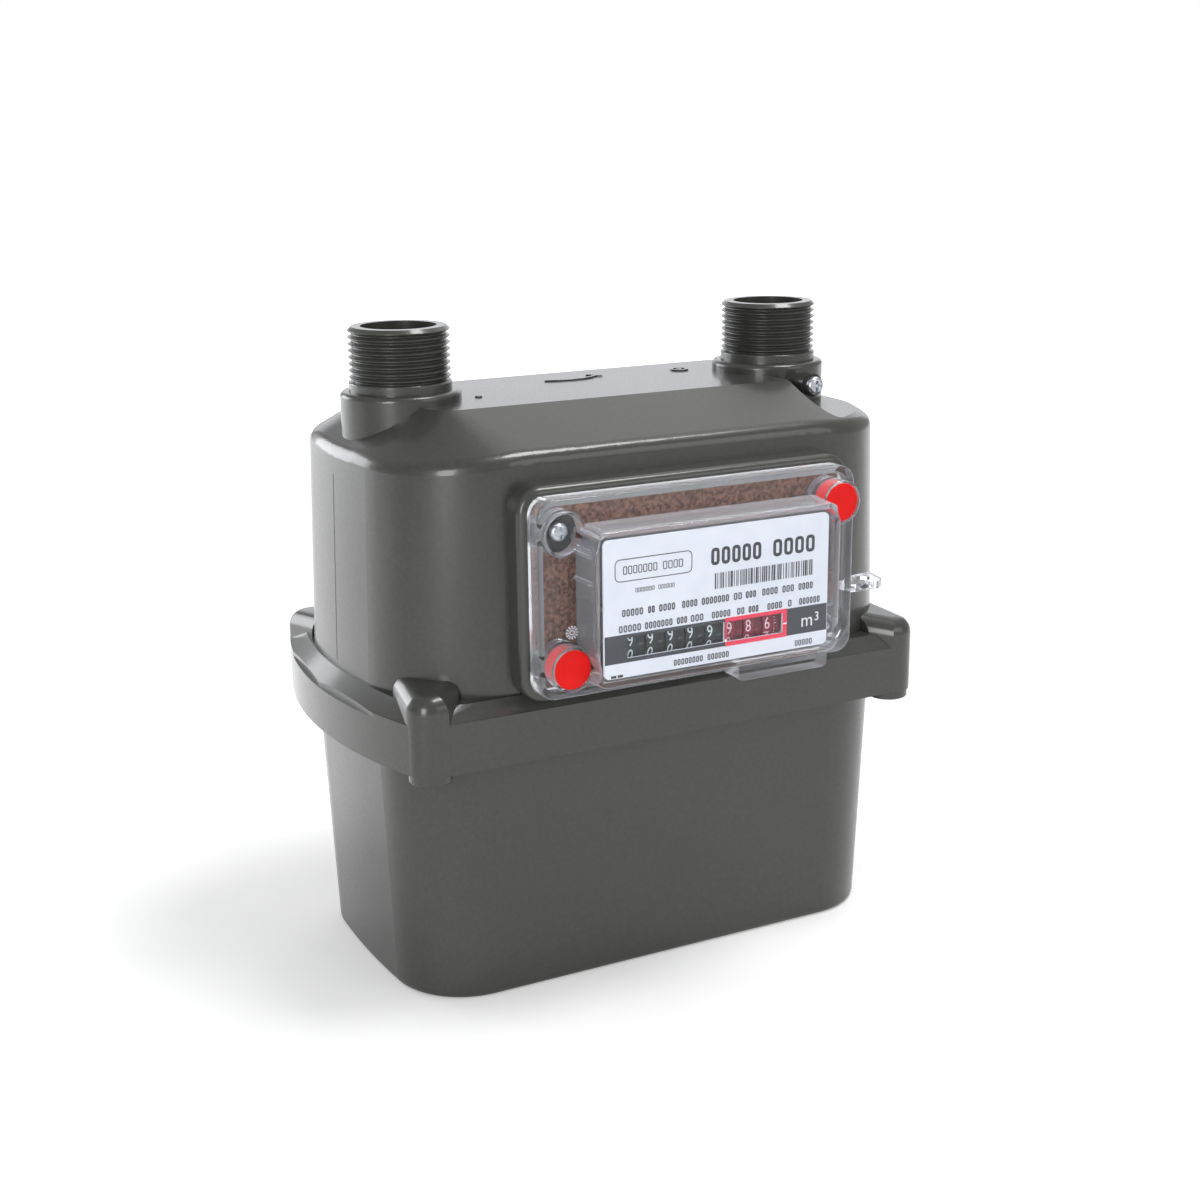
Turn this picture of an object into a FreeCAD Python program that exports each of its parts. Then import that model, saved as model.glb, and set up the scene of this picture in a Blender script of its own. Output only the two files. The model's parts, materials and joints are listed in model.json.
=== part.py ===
import FreeCAD, Part
import math
import os

# Domestic diaphragm gas meter. Millimetres, +Z up, -Y is the index side, +X is to the right of
# somebody reading the index. The origin is the centre of the base, on the surface it stands on.

V = FreeCAD.Vector
UP = V(0, 0, 1)
FRONT = V(0, -1, 0)
RIGHT = V(1, 0, 0)

# ---- driving dimensions: casing ------------------------------------------------------------
SPIGOT_X = 76.2            # half of the 152.4 mm connection centres
SPIGOT_TOP = 234.0
THREAD_R = 17.85           # major radius of the connection thread
THREAD_PITCH = 2.309       # eleven threads per inch
THREAD_BOTTOM = 215.0        # top of the plain collar, where the thread runs out
THREAD_DEPTH = 1.48
THREAD_TURNS = 8
FIRST_GROOVE = 215.3         # height of the lowest groove's centre, half buried in the collar
LIP_CHAMFER = 1.2
SPIGOT_BORE_R = 13.3
COLLAR_R = 18.1
BOSS_R = 21.3
BOSS_TOP = 211.7
KEEP_R = 16.5              # inner post that carries each spigot's bore down into the casing
KEEP_BOTTOM = 184.0
POCKET_FLOOR = 196.6       # recess beside the outlet boss
TEST_Z = 204.9             # pressure test screw
TEST_FACE_Y = -31.0

TOP_Z = 207.9              # flat top of the casing
TOP_HALF_D = 31.7
TOP_HALF_W = 77.0
FRONT_SLOPE = 0.387        # fall of the front and rear shoulders per mm
END_SLOPE = 0.58           # fall of the end shoulders per mm
ROOF_CORNER_R = 10.0       # plan radius of the roof corners at the flat top
ROOF_CORNER_GROWTH = 3.0   # how much that radius grows per mm of fall
ROOF_DEPTH = 24.0          # fall over which the slopes are drawn, past every wall
SHOULDER_R = 5.5
WALL_Z = 120.0             # height at which the upper wall sizes are given
WALL_HALF_W = 104.7
WALL_HALF_D = 62.4
WALL_CORNER_R = 40.8
WALL_END_R = 209.0
WALL_DRAFT = 0.010         # lean of the front and rear walls
WALL_END_DRAFT = 0.031
CASE_WALL = 3.2

SKIRT_BOTTOM = 91.7
SKIRT_TOP = 109.5
LEDGE_TOP = 114.6
SKIRT_HALF_W = 112.4
SKIRT_HALF_D = 67.5
SKIRT_CORNER_R = 8.0
SKIRT_END_R = 190.0
SKIRT_WALL = 2.5
BOSS_DOME_Z = 120.0        # top of the corner bosses over their screws
SEAM_Z = 103.4             # sealing face under the upper casing
GASKET_T = 2.2
LOWER_FLANGE_Z = 95.5
CLAMP_Y = SKIRT_HALF_D - SKIRT_CORNER_R
CLAMP_X = SKIRT_HALF_W - SKIRT_END_R + math.sqrt((SKIRT_END_R - SKIRT_CORNER_R) ** 2 - CLAMP_Y ** 2)
BOSS_PROUD = 0.12          # how far the corner bosses stand out of the skirt
BOSS_DOME_R = 6.2
FLANGE_GAP = 0.4           # between the lower flange and the inside of the skirt
CLAMP_SCREW_R = 2.0
FOOT_BOTTOM = 88.3         # feet under the corner bosses, each with a counterbore for its screw
COUNTERBORE = 4.0

TUB_HALF_W = 98.9          # lower casing, at the base
TUB_HALF_D = 54.5
TUB_CORNER_R = 27.8
TUB_END_R = 379.0
TUB_SPREAD = 3.75          # how far each side leans out from the base to the flange

# ---- driving dimensions: index -------------------------------------------------------------
INDEX_X = 0.3
INDEX_Z = 150.0
PAD_FACE_Y = -71.0
PAD_HALF_W = 65.4
PAD_HALF_H = 37.0
COVER_HALF_W = 62.3
COVER_HALF_H = 34.1
COVER_PLATE_Y = -79.0
WINDOW_Y = -92.0
WINDOW_HALF_W = 47.9
WINDOW_TOP = 174.4
WINDOW_BOTTOM = 121.4
COVER_WALL = 2.0
CORNER_SCREW_X = 53.0
CORNER_SCREW_Z = 22.4
RING_R = 7.8
RING_BORE_R = 6.9
PLUG_R = 6.84
SEALED_CORNERS = ((-1, -1), (1, 1))      # cover screws under a seal plug
OPEN_CORNERS = ((-1, 1), (1, -1))
COVER_FOOT_Y = PAD_FACE_Y - 0.1
SCREW_SEAT_Y = -74.6
SEALED_RING_Y = -84.6
OPEN_RING_Y = -80.2
LUG_Z = 138.8              # eye for the sealing wire
LUG_HOLE_X = 71.8
LUG_HOLE_Y = -72.8

DRUM_COUNT = 8
DRUM_PITCH = 7.65
DRUM_FIRST_X = -31.9
DRUM_WIDTH = 7.0
DRUM_R = 8.4
DRUM_Y = -80.2
DRUM_Z = 134.3
DRUM_SHAFT_R = 1.2
DRUM_GEAR_X = 27.0         # crown wheel beside the fastest drum
CHEEKS = ((-39.6, -37.6), (31.4, 33.4))  # side plates that carry both shafts
PINION_R = 2.6
PINION_SHAFT_R = 1.0
PINION_RISE = 11.4         # pinion shaft above the drum shaft
DIAL_FRONT_Y = -89.85
DIAL_T = 0.9
DIAL_HALF_W = 44.0
DIAL_TOP = 171.3
DIAL_BOTTOM = 124.2
SIGHT_LOW = 130.7
SIGHT_HIGH = 137.8

# ---- driving dimensions: measuring unit ------------------------------------------------------
CHAMBER_HALF_W = 80.0
CHAMBER_BOTTOM = 8.0
CHAMBER_TOP = 104.0
CHAMBER_HALF_D = 26.0
CHAMBER_WALL = 4.0
COVER_DEPTH = 19.0
MEMBRANE_T = 0.8
MEMBRANE_GAP = 0.6
PLATE_HALF_W = 49.0
PLATE_HALF_H = 29.0
PLATE_T = 1.6
DECK_TOP = 108.0
FLAG_X = -62.0
FLAG_Y = 14.0
FLAG_LENGTH = 40.0
ROD_R = 2.0
CRANK_X = 37.0
CRANK_R = 5.0
ARM_LENGTH = 30.0
ARM_Z = 111.6
BEVEL_NEAR = 3.6
BEVEL_FAR = 6.0
SHAFT_R = 1.5
SHAFT_FRONT = -76.6
DRIVE_Z = DRUM_Z
DUCT_R = 12.9
DUCT_SHELF_Z = 124.0       # top of the duct's box
FIT = 0.05                 # radial clearance of every running fit


def box(x0, x1, y0, y1, z0, z1):
    return Part.makeBox(x1 - x0, y1 - y0, z1 - z0, V(x0, y0, z0))


def rod(radius, start, axis, length):
    return Part.makeCylinder(radius, length, start, axis)


def ring(outer_r, inner_r, start, axis, length):
    return rod(outer_r, start, axis, length).cut(rod(inner_r, start, axis, length))


def fuse(shapes):
    whole = shapes[0]
    for shape in shapes[1:]:
        whole = whole.fuse(shape)
    return whole.removeSplitter()


def arc(centre, radius, angle0, angle1, z):
    def at(angle):
        return V(centre[0] + radius * math.cos(angle), centre[1] + radius * math.sin(angle), z)
    return Part.Arc(at(angle0), at((angle0 + angle1) / 2), at(angle1)).toShape()


def bulged_outline(half_w, half_d, corner_r, end_r, z):
    """Rounded rectangle with flat long sides and ends that bulge with the radius end_r."""
    end_x = half_w - end_r
    corner_y = half_d - corner_r
    corner_x = end_x + math.sqrt((end_r - corner_r) ** 2 - corner_y ** 2)
    turn = math.atan2(corner_y, corner_x - end_x)
    quarter = math.pi / 2
    edges = [
        Part.makeLine(V(-corner_x, -half_d, z), V(corner_x, -half_d, z)),
        arc((corner_x, -corner_y), corner_r, -quarter, -turn, z),
        arc((end_x, 0), end_r, -turn, turn, z),
        arc((corner_x, corner_y), corner_r, turn, quarter, z),
        Part.makeLine(V(corner_x, half_d, z), V(-corner_x, half_d, z)),
        arc((-corner_x, corner_y), corner_r, quarter, math.pi - turn, z),
        arc((-end_x, 0), end_r, math.pi - turn, math.pi + turn, z),
        arc((-corner_x, -corner_y), corner_r, math.pi + turn, 3 * quarter, z),
    ]
    return Part.Wire(edges)


def prism(wire, height):
    return Part.Face(wire).extrude(V(0, 0, height))


def rounded_panel(cx, cz, half_w, half_h, corner_r, y):
    """Rounded rectangle standing in the plane y, as a wire."""
    wire = rounded_rectangle(cx, cz, half_w, half_h, corner_r)
    wire.rotate(V(0, 0, 0), RIGHT, 90)
    wire.translate(V(0, y, 0))
    return wire


def rounded_rectangle(cx, cy, half_w, half_h, corner_r):
    """Wire in the plane Z = 0."""
    corner_x = half_w - corner_r
    corner_y = half_h - corner_r
    quarter = math.pi / 2
    edges = []
    corners = [(1, -1), (1, 1), (-1, 1), (-1, -1)]
    for turn, (sx, sy) in enumerate(corners):
        start = (turn - 1) * quarter
        edges.append(arc((cx + sx * corner_x, cy + sy * corner_y), corner_r, start, start + quarter, 0))
        nx, ny = corners[(turn + 1) % 4]
        end = start + quarter
        a = V(cx + sx * corner_x + corner_r * math.cos(end), cy + sy * corner_y + corner_r * math.sin(end), 0)
        b = V(cx + nx * corner_x + corner_r * math.cos(end), cy + ny * corner_y + corner_r * math.sin(end), 0)
        edges.append(Part.makeLine(a, b))
    return Part.Wire(edges)


def panel(cx, cz, half_w, half_h, corner_r, y_front, thickness):
    """Rounded plate facing the front, from y_front back by thickness."""
    wire = rounded_panel(cx, cz, half_w, half_h, corner_r, y_front)
    return Part.Face(wire).extrude(V(0, thickness, 0))


def fillet_where(shape, radius, wanted):
    edges = [edge for edge in shape.Edges if wanted(edge)]
    return shape.makeFillet(radius, edges)


# ---- upper casing --------------------------------------------------------------------------
def wall_outline(inset, z):
    grow = -inset - WALL_DRAFT * (z - WALL_Z)
    grow_ends = -inset - WALL_END_DRAFT * (z - WALL_Z)
    return bulged_outline(WALL_HALF_W + grow_ends, WALL_HALF_D + grow, WALL_CORNER_R + grow,
                          WALL_END_R + grow, z)


def roof_outline(inset, fall):
    """Outline of the roof slopes where they have fallen this far below the flat top."""
    wire = rounded_rectangle(0, 0, TOP_HALF_W - inset * 0.25 + fall / END_SLOPE,
                             TOP_HALF_D - inset * 0.2 + fall / FRONT_SLOPE,
                             ROOF_CORNER_R + ROOF_CORNER_GROWTH * fall)
    wire.translate(V(0, 0, TOP_Z - inset - fall))
    return wire


def hip_body(inset, z_bottom):
    """Drafted wall under a roof with round corners; inset moves every face inwards."""
    z_high = TOP_Z + 10
    walls = Part.makeLoft([wall_outline(inset, z_bottom), wall_outline(inset, z_high)], True, True)
    slopes = Part.makeLoft([roof_outline(inset, ROOF_DEPTH), roof_outline(inset, 0)], True, True)
    below = prism(roof_outline(inset, ROOF_DEPTH), z_bottom - 1 - (TOP_Z - inset - ROOF_DEPTH))
    return walls.common(slopes.fuse(below))


def on_shoulder(edge):
    """Edges where the roof meets the wall."""
    heights = edge.BoundBox
    return heights.ZMin > WALL_Z and heights.ZMax < TOP_Z - 5


def threaded_core(centre_x):
    """Threaded end of a spigot: one V groove per pitch, turned about the spigot's own axis."""
    root = THREAD_R - THREAD_DEPTH
    flat = 0.12
    points = [V(0, 0, THREAD_BOTTOM - 2), V(THREAD_R, 0, THREAD_BOTTOM - 2)]
    for n in range(THREAD_TURNS):
        middle = FIRST_GROOVE + n * THREAD_PITCH
        half = THREAD_PITCH / 2 - flat
        points += [V(THREAD_R, 0, middle - half), V(root, 0, middle - flat), V(root, 0, middle + flat),
                   V(THREAD_R, 0, middle + half)]
    points += [V(THREAD_R, 0, SPIGOT_TOP - LIP_CHAMFER), V(THREAD_R - LIP_CHAMFER, 0, SPIGOT_TOP), V(0, 0, SPIGOT_TOP)]
    core = Part.Face(Part.makePolygon(points + points[:1])).revolve(V(0, 0, 0), UP, 360)
    core.translate(V(centre_x, 0, 0))
    return core


def spigot(centre_x):
    foot = V(centre_x, 0, 178)
    boss = rod(BOSS_R, foot, UP, BOSS_TOP - foot.z)
    boss = fillet_where(boss, 1.8, lambda edge: edge.BoundBox.ZMin > BOSS_TOP - 0.1)
    collar = rod(COLLAR_R, V(centre_x, 0, BOSS_TOP - 1), UP, THREAD_BOTTOM - BOSS_TOP + 1)
    collar = fillet_where(collar, 0.7, lambda edge: edge.BoundBox.ZMin > THREAD_BOTTOM - 0.1)
    return boss.fuse(collar).fuse(threaded_core(centre_x))


def corner_boss(sx, sy):
    """Domed screw boss over each corner of the flange, spreading back into the wall."""
    r = SKIRT_CORNER_R + BOSS_PROUD
    diagonal = r * math.sqrt(0.5)
    rim = Part.Arc(V(0, r, 0), V(diagonal, diagonal, 0), V(r, 0, 0)).toShape()
    corners = [V(r, 0, 0), V(5.5, -18, 0), V(-14, -14, 0), V(-10.5, 1.5, 0), V(-4, r, 0), V(0, r, 0)]
    sides = [Part.makeLine(a, b) for a, b in zip(corners, corners[1:])]
    block = prism(Part.Wire([rim] + sides), BOSS_DOME_Z + 8 - SKIRT_BOTTOM)
    slope = 0.12
    reach = 40.0
    edge = [V(-reach, 0, slope * reach), V(reach, 0, -slope * reach), V(reach, 0, 30), V(-reach, 0, 30)]
    slab = Part.Face(Part.makePolygon(edge + edge[:1])).extrude(V(0, 2 * reach, 0))
    slab.translate(V(0, -reach, BOSS_DOME_Z - SKIRT_BOTTOM))
    slab.rotate(V(0, 0, 0), UP, 48)
    block = block.cut(slab)
    dome = [e for e in block.Edges
            if e.BoundBox.ZMin > BOSS_DOME_Z - SKIRT_BOTTOM - 3 and outer_edge(e.CenterOfMass)]
    block = block.makeFillet(BOSS_DOME_R, dome)
    if sx < 0:
        block = block.mirror(V(0, 0, 0), V(1, 0, 0))
    if sy < 0:
        block = block.mirror(V(0, 0, 0), V(0, 1, 0))
    block.translate(V(sx * CLAMP_X, sy * CLAMP_Y, SKIRT_BOTTOM))
    return block


def outer_edge(point):
    """Top edges of a corner boss that stand clear of the wall."""
    return point.x + point.y > -8.0


def ledge(half_w, half_d, corner_r, end_r):
    lower = bulged_outline(half_w, half_d, corner_r, end_r, SKIRT_TOP)
    upper = bulged_outline(106.0, 63.6, 22.0, 200.0, LEDGE_TOP)
    return Part.makeLoft([lower, upper], True, True)


def end_step(sx):
    """Shallow lens-shaped step where the bulged skirt stands outside the straight ledge."""
    chord = [V(sx * 112.0, 0, 0), V(sx * 105.9, 59.5, 0), V(sx * 125, 59.5, 0), V(sx * 125, -59.5, 0),
             V(sx * 105.9, -59.5, 0), V(sx * 112.0, 0, 0)]
    cutter = Part.Face(Part.makePolygon(chord)).extrude(V(0, 0, 20))
    cutter.translate(V(0, 0, SKIRT_TOP - 1.8))
    return cutter


def index_pad():
    pad = panel(INDEX_X, INDEX_Z, PAD_HALF_W, PAD_HALF_H, 9.0, PAD_FACE_Y, 14.0)
    return fillet_where(pad, 2.6, lambda edge: edge.BoundBox.YMax < PAD_FACE_Y + 0.1)


def test_pocket():
    """Recess beside the outlet boss that clears the pressure test screw."""
    cutter = box(65.0, 112.0, -80.0, -6.0, POCKET_FLOOR, 225.0)

    def low_left(edge):
        bb = edge.BoundBox
        return bb.XMax < 65.1 and bb.ZMax < POCKET_FLOOR + 0.1 and bb.YLength > 50
    return fillet_where(cutter, 8.5, low_left)


def upper_case():
    outer = hip_body(0, SEAM_Z - 1)
    outer = fillet_where(outer, SHOULDER_R, on_shoulder)
    outer = outer.cut(test_pocket())
    skirt = prism(bulged_outline(SKIRT_HALF_W, SKIRT_HALF_D, SKIRT_CORNER_R, SKIRT_END_R, SKIRT_BOTTOM),
                  SKIRT_TOP - SKIRT_BOTTOM)
    flange = skirt.fuse(ledge(SKIRT_HALF_W - 0.4, SKIRT_HALF_D - 0.4, SKIRT_CORNER_R - 0.4, SKIRT_END_R - 0.4))
    for sx in (-1, 1):
        flange = flange.cut(end_step(sx))
    pieces = [outer, flange, index_pad()]
    pieces += [corner_boss(sx, sy) for sx in (-1, 1) for sy in (-1, 1)]
    pieces += [spigot(-SPIGOT_X), spigot(SPIGOT_X)]
    pieces.append(rod(4.6, V(SPIGOT_X, -15, TEST_Z), FRONT, -15 - TEST_FACE_Y))
    body = fuse(pieces)

    cavity = hip_body(CASE_WALL, SEAM_Z - 20)
    keep = [rod(KEEP_R, V(x, 0, KEEP_BOTTOM), UP, 24) for x in (-SPIGOT_X, SPIGOT_X)]
    keep.append(box(SPIGOT_X - 6, SPIGOT_X + 6, -26, -14, 190, 212))
    keep.append(box(61.8, 112.0, -64.0, -2.0, POCKET_FLOOR - CASE_WALL, 215.0))
    keep.append(rod(6.5, V(CRANK_X, -66, DRIVE_Z), V(0, 1, 0), 10))
    keep += [rod(5.0, V(INDEX_X + sx * CORNER_SCREW_X, PAD_FACE_Y, INDEX_Z + sz * CORNER_SCREW_Z),
                 V(0, 1, 0), 15) for sx in (-1, 1) for sz in (-1, 1)]
    for post in keep:
        cavity = cavity.cut(post)
    pocket = prism(bulged_outline(SKIRT_HALF_W - SKIRT_WALL, SKIRT_HALF_D - SKIRT_WALL,
                                  SKIRT_CORNER_R - SKIRT_WALL, SKIRT_END_R - SKIRT_WALL,
                                  SKIRT_BOTTOM - 1), SEAM_Z - SKIRT_BOTTOM + 1)
    body = body.cut(cavity).cut(pocket)
    for x in (-SPIGOT_X, SPIGOT_X):
        body = body.cut(rod(SPIGOT_BORE_R, V(x, 0, 170), UP, 80))
    body = body.cut(rod(2.05, V(SPIGOT_X, TEST_FACE_Y - 1, TEST_Z), V(0, 1, 0), 14))
    body = body.cut(rod(1.2, V(SPIGOT_X, TEST_FACE_Y, TEST_Z), V(0, 1, 0), 24))
    for sx in (-1, 1):
        for sy in (-1, 1):
            hole = V(sx * CLAMP_X, sy * CLAMP_Y, SEAM_Z - 1)
            body = body.cut(rod(CLAMP_SCREW_R + FIT, hole, UP, 14))
    for sx in (-1, 1):
        for sz in (-1, 1):
            hole = V(INDEX_X + sx * CORNER_SCREW_X, PAD_FACE_Y - 1, INDEX_Z + sz * CORNER_SCREW_Z)
            body = body.cut(rod(1.5 + FIT, hole, V(0, 1, 0), 11))
    return body.cut(rod(4.0 + FIT, V(CRANK_X, -75, DRIVE_Z), V(0, 1, 0), 25))


# ---- lower casing, seal and clamp screws -----------------------------------------------------
def tub(inset, z0, z1):
    def outline(z):
        grow = TUB_SPREAD * z / LOWER_FLANGE_Z - inset
        return bulged_outline(TUB_HALF_W + grow, TUB_HALF_D + grow, TUB_CORNER_R + grow, TUB_END_R + grow, z)
    return Part.makeLoft([outline(z0), outline(z1)], True, True)


def flange_outline(z):
    inset = SKIRT_WALL + FLANGE_GAP
    return bulged_outline(SKIRT_HALF_W - inset, SKIRT_HALF_D - inset, SKIRT_CORNER_R - inset,
                          SKIRT_END_R - inset, z)


def lower_case():
    top = SEAM_Z - GASKET_T
    outside = tub(0, 0, top)
    outside = fillet_where(outside, 2.4, lambda edge: edge.BoundBox.ZMax < 0.1)
    pieces = [outside, prism(flange_outline(LOWER_FLANGE_Z), top - LOWER_FLANGE_Z)]
    for sx in (-1, 1):
        for sy in (-1, 1):
            centre = V(sx * CLAMP_X, sy * CLAMP_Y, FOOT_BOTTOM)
            foot = rod(7.5, centre, UP, SKIRT_BOTTOM - 0.2 - FOOT_BOTTOM)
            foot = fillet_where(foot, 0.7, lambda edge: edge.BoundBox.ZMax < FOOT_BOTTOM + 0.1)
            web = rod(6.0, V(sx * (CLAMP_X - 8), sy * (CLAMP_Y - 9), FOOT_BOTTOM), UP, 8)
            pieces += [foot, rod(4.9, centre, UP, top - FOOT_BOTTOM), web]
    body = fuse(pieces).cut(tub(CASE_WALL, CASE_WALL, top + 1))
    for sx in (-1, 1):
        for sy in (-1, 1):
            centre = V(sx * CLAMP_X, sy * CLAMP_Y, FOOT_BOTTOM - 1)
            body = body.cut(rod(4.0, centre, UP, COUNTERBORE + 1))
            body = body.cut(rod(CLAMP_SCREW_R + FIT, centre, UP, 30))
    return body


def case_gasket():
    flat = prism(flange_outline(SEAM_Z - GASKET_T), GASKET_T)
    inner = prism(bulged_outline(101.4, 60.4, 37.6, 206.9, SEAM_Z - GASKET_T - 1), GASKET_T + 2)
    body = flat.cut(inner)
    for sx in (-1, 1):
        for sy in (-1, 1):
            hole = V(sx * CLAMP_X, sy * CLAMP_Y, SEAM_Z - GASKET_T - 1)
            body = body.cut(rod(CLAMP_SCREW_R + 0.3, hole, UP, GASKET_T + 2))
    return body


def cross_recess(centre, axis, size, depth):
    """Cutter for a crosshead slot: two tapered blades."""
    blades = []
    for angle in (0, 90):
        blade = Part.makeBox(size, size * 0.26, depth, V(-size / 2, -size * 0.13, 0))
        blade.rotate(V(0, 0, 0), UP, angle)
        blades.append(blade)
    tip = Part.makeCone(size * 0.12, size * 0.3, depth, V(0, 0, 0), UP)
    cutter = fuse(blades + [tip])
    cutter.Placement = FreeCAD.Placement(centre, FreeCAD.Rotation(UP, axis))
    return cutter


def pan_screw(head_r, head_h, shank_r, length, seat, out):
    """Crosshead pan screw whose head sits on seat; out points from the seat towards the head."""
    head = rod(head_r, V(0, 0, 0), UP, head_h)
    head = fillet_where(head, head_h * 0.6, lambda edge: edge.BoundBox.ZMin > head_h - 0.05)
    shank = rod(shank_r, V(0, 0, -length), UP, length + 0.2)
    shank = shank.makeChamfer(0.35, [e for e in shank.Edges if e.BoundBox.ZMax < -length + 0.05])
    slot = cross_recess(V(0, 0, head_h * 0.45), UP, head_r * 1.25, head_h)
    screw = head.fuse(shank).cut(slot)
    screw.Placement = FreeCAD.Placement(seat, FreeCAD.Rotation(UP, out))
    return screw


def case_screws():
    seat_z = FOOT_BOTTOM + COUNTERBORE
    down = V(0, 0, -1)
    return Part.makeCompound([pan_screw(3.7, 2.6, CLAMP_SCREW_R, 22.0,
                                        V(sx * CLAMP_X, sy * CLAMP_Y, seat_z), down)
                              for sx in (-1, 1) for sy in (-1, 1)])


def test_point_screw():
    return pan_screw(3.5, 2.7, 2.0, 9.0, V(SPIGOT_X, TEST_FACE_Y - 0.8, TEST_Z), FRONT)


def test_point_washer():
    return ring(4.1, 2.1, V(SPIGOT_X, TEST_FACE_Y, TEST_Z), FRONT, 0.8)


# ---- index cover and seals -------------------------------------------------------------------
def corner_centre(sx, sz, y):
    return V(INDEX_X + sx * CORNER_SCREW_X, y, INDEX_Z + sz * CORNER_SCREW_Z)


def window_box(grow, y_front, y_back):
    cz = (WINDOW_TOP + WINDOW_BOTTOM) / 2
    half_h = (WINDOW_TOP - WINDOW_BOTTOM) / 2
    front = rounded_panel(INDEX_X, cz, WINDOW_HALF_W + grow, half_h + grow, 4.6 + grow, y_front)
    back = rounded_panel(INDEX_X, cz, WINDOW_HALF_W + 0.9 + grow, half_h + 0.9 + grow, 5.2 + grow, y_back)
    return Part.makeLoft([front, back], True, True)


def seal_lug():
    """Flat eye on the right-hand side of the cover for a sealing wire."""
    x0 = LUG_HOLE_X
    points = [V(x0 - 10.8, -78.6, 0), V(x0 + 2.4, -79.0, 0), V(x0 + 5.9, -76.0, 0), V(x0 + 7.5, -67.0, 0),
              V(x0 - 3.7, -67.0, 0), V(x0 - 3.7, -71.4, 0), V(x0 - 10.8, -71.4, 0)]
    plate = Part.Face(Part.makePolygon(points + points[:1])).extrude(V(0, 0, 2.8))
    plate.translate(V(0, 0, LUG_Z - 1.4))
    return plate.cut(rod(2.8, V(LUG_HOLE_X, LUG_HOLE_Y, LUG_Z - 5), UP, 10))


def index_cover():
    plate = panel(INDEX_X, INDEX_Z, COVER_HALF_W, COVER_HALF_H, 6.0, COVER_PLATE_Y,
                  COVER_FOOT_Y - COVER_PLATE_Y)
    plate = fillet_where(plate, 1.2, lambda edge: edge.BoundBox.YMax < COVER_PLATE_Y + 0.05)
    hump = fillet_where(window_box(0, WINDOW_Y, COVER_PLATE_Y + 1), 1.5,
                        lambda edge: edge.BoundBox.YMax < WINDOW_Y + 0.05)
    tab = box(9.5, 46.0, -88.0, COVER_PLATE_Y + 1, 114.8, 123.0)
    tab = fillet_where(tab, 2.0, lambda e: e.BoundBox.YLength > 5 and e.BoundBox.ZMax < 115)
    rings = []
    for corners, y in ((SEALED_CORNERS, SEALED_RING_Y), (OPEN_CORNERS, OPEN_RING_Y)):
        for sx, sz in corners:
            stub = rod(RING_R, corner_centre(sx, sz, COVER_FOOT_Y), FRONT, COVER_FOOT_Y - y)
            rings.append(fillet_where(stub, 0.4, lambda e, y=y: e.BoundBox.YMax < y + 0.05))
    body = fuse([plate, hump, tab] + rings)
    hollow = panel(INDEX_X, INDEX_Z, COVER_HALF_W - 2.4, COVER_HALF_H - 2.4, 4.0, COVER_PLATE_Y + 2.2,
                   COVER_FOOT_Y - COVER_PLATE_Y)
    for sx, sz in SEALED_CORNERS + OPEN_CORNERS:
        hollow = hollow.cut(rod(RING_R, corner_centre(sx, sz, -95), V(0, 1, 0), 40))
    body = body.cut(hollow)
    body = body.cut(window_box(-COVER_WALL, WINDOW_Y + COVER_WALL, COVER_FOOT_Y))
    for sx, sz in SEALED_CORNERS + OPEN_CORNERS:
        body = body.cut(rod(RING_BORE_R, corner_centre(sx, sz, -95), V(0, 1, 0), 95 + SCREW_SEAT_Y))
        body = body.cut(rod(1.7, corner_centre(sx, sz, -95), V(0, 1, 0), 40))
    rib_x = INDEX_X - WINDOW_HALF_W
    ribs = [box(rib_x - 1.6, rib_x, WINDOW_Y + COVER_WALL, COVER_PLATE_Y + 0.5, z, z + thickness)
            for z, thickness in ((157.0, 1.2), (166.0, 0.9))]
    return fuse([body, seal_lug()] + ribs)


def index_gasket():
    """Cork-coloured backing under the cover, open in the middle for the mechanism."""
    back = PAD_FACE_Y
    plate = panel(INDEX_X, INDEX_Z, COVER_HALF_W - 3.0, COVER_HALF_H - 3.0, 4.0, back - 1.4, 1.4)
    opening = panel(INDEX_X, INDEX_Z - 2, 40.0, 20.0, 3.0, back - 3, 5)
    body = plate.cut(opening).cut(rod(6.2, V(CRANK_X, -90, DRIVE_Z), V(0, 1, 0), 40))
    for sx, sz in SEALED_CORNERS + OPEN_CORNERS:
        body = body.cut(rod(RING_R + 0.3, corner_centre(sx, sz, -95), V(0, 1, 0), 40))
    return body


def index_screws():
    return Part.makeCompound([pan_screw(3.2, 2.3, 1.5, 12.0, corner_centre(sx, sz, SCREW_SEAT_Y), FRONT)
                              for sx, sz in SEALED_CORNERS + OPEN_CORNERS])


def seal_plug(sx, sz):
    centre = corner_centre(sx, sz, SCREW_SEAT_Y - 3.0)
    length = centre.y - SEALED_RING_Y - 0.3
    body = rod(PLUG_R, centre, FRONT, length)
    body = body.cut(rod(PLUG_R - 1.6, centre, FRONT, length - 1.8))
    return fillet_where(body, 0.35, lambda e: e.BoundBox.YMax < SEALED_RING_Y + 0.35)


# ---- index mechanism -------------------------------------------------------------------------
def dial_plate():
    cz = (DIAL_TOP + DIAL_BOTTOM) / 2
    plate = panel(-0.2, cz, DIAL_HALF_W, (DIAL_TOP - DIAL_BOTTOM) / 2, 2.0, DIAL_FRONT_Y, DIAL_T)
    for x0, x1 in ((-35.6, 1.9), (2.9, 25.4)):
        plate = plate.cut(box(x0, x1, DIAL_FRONT_Y - 1, DIAL_FRONT_Y + 3, SIGHT_LOW, SIGHT_HIGH))
    return plate


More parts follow.
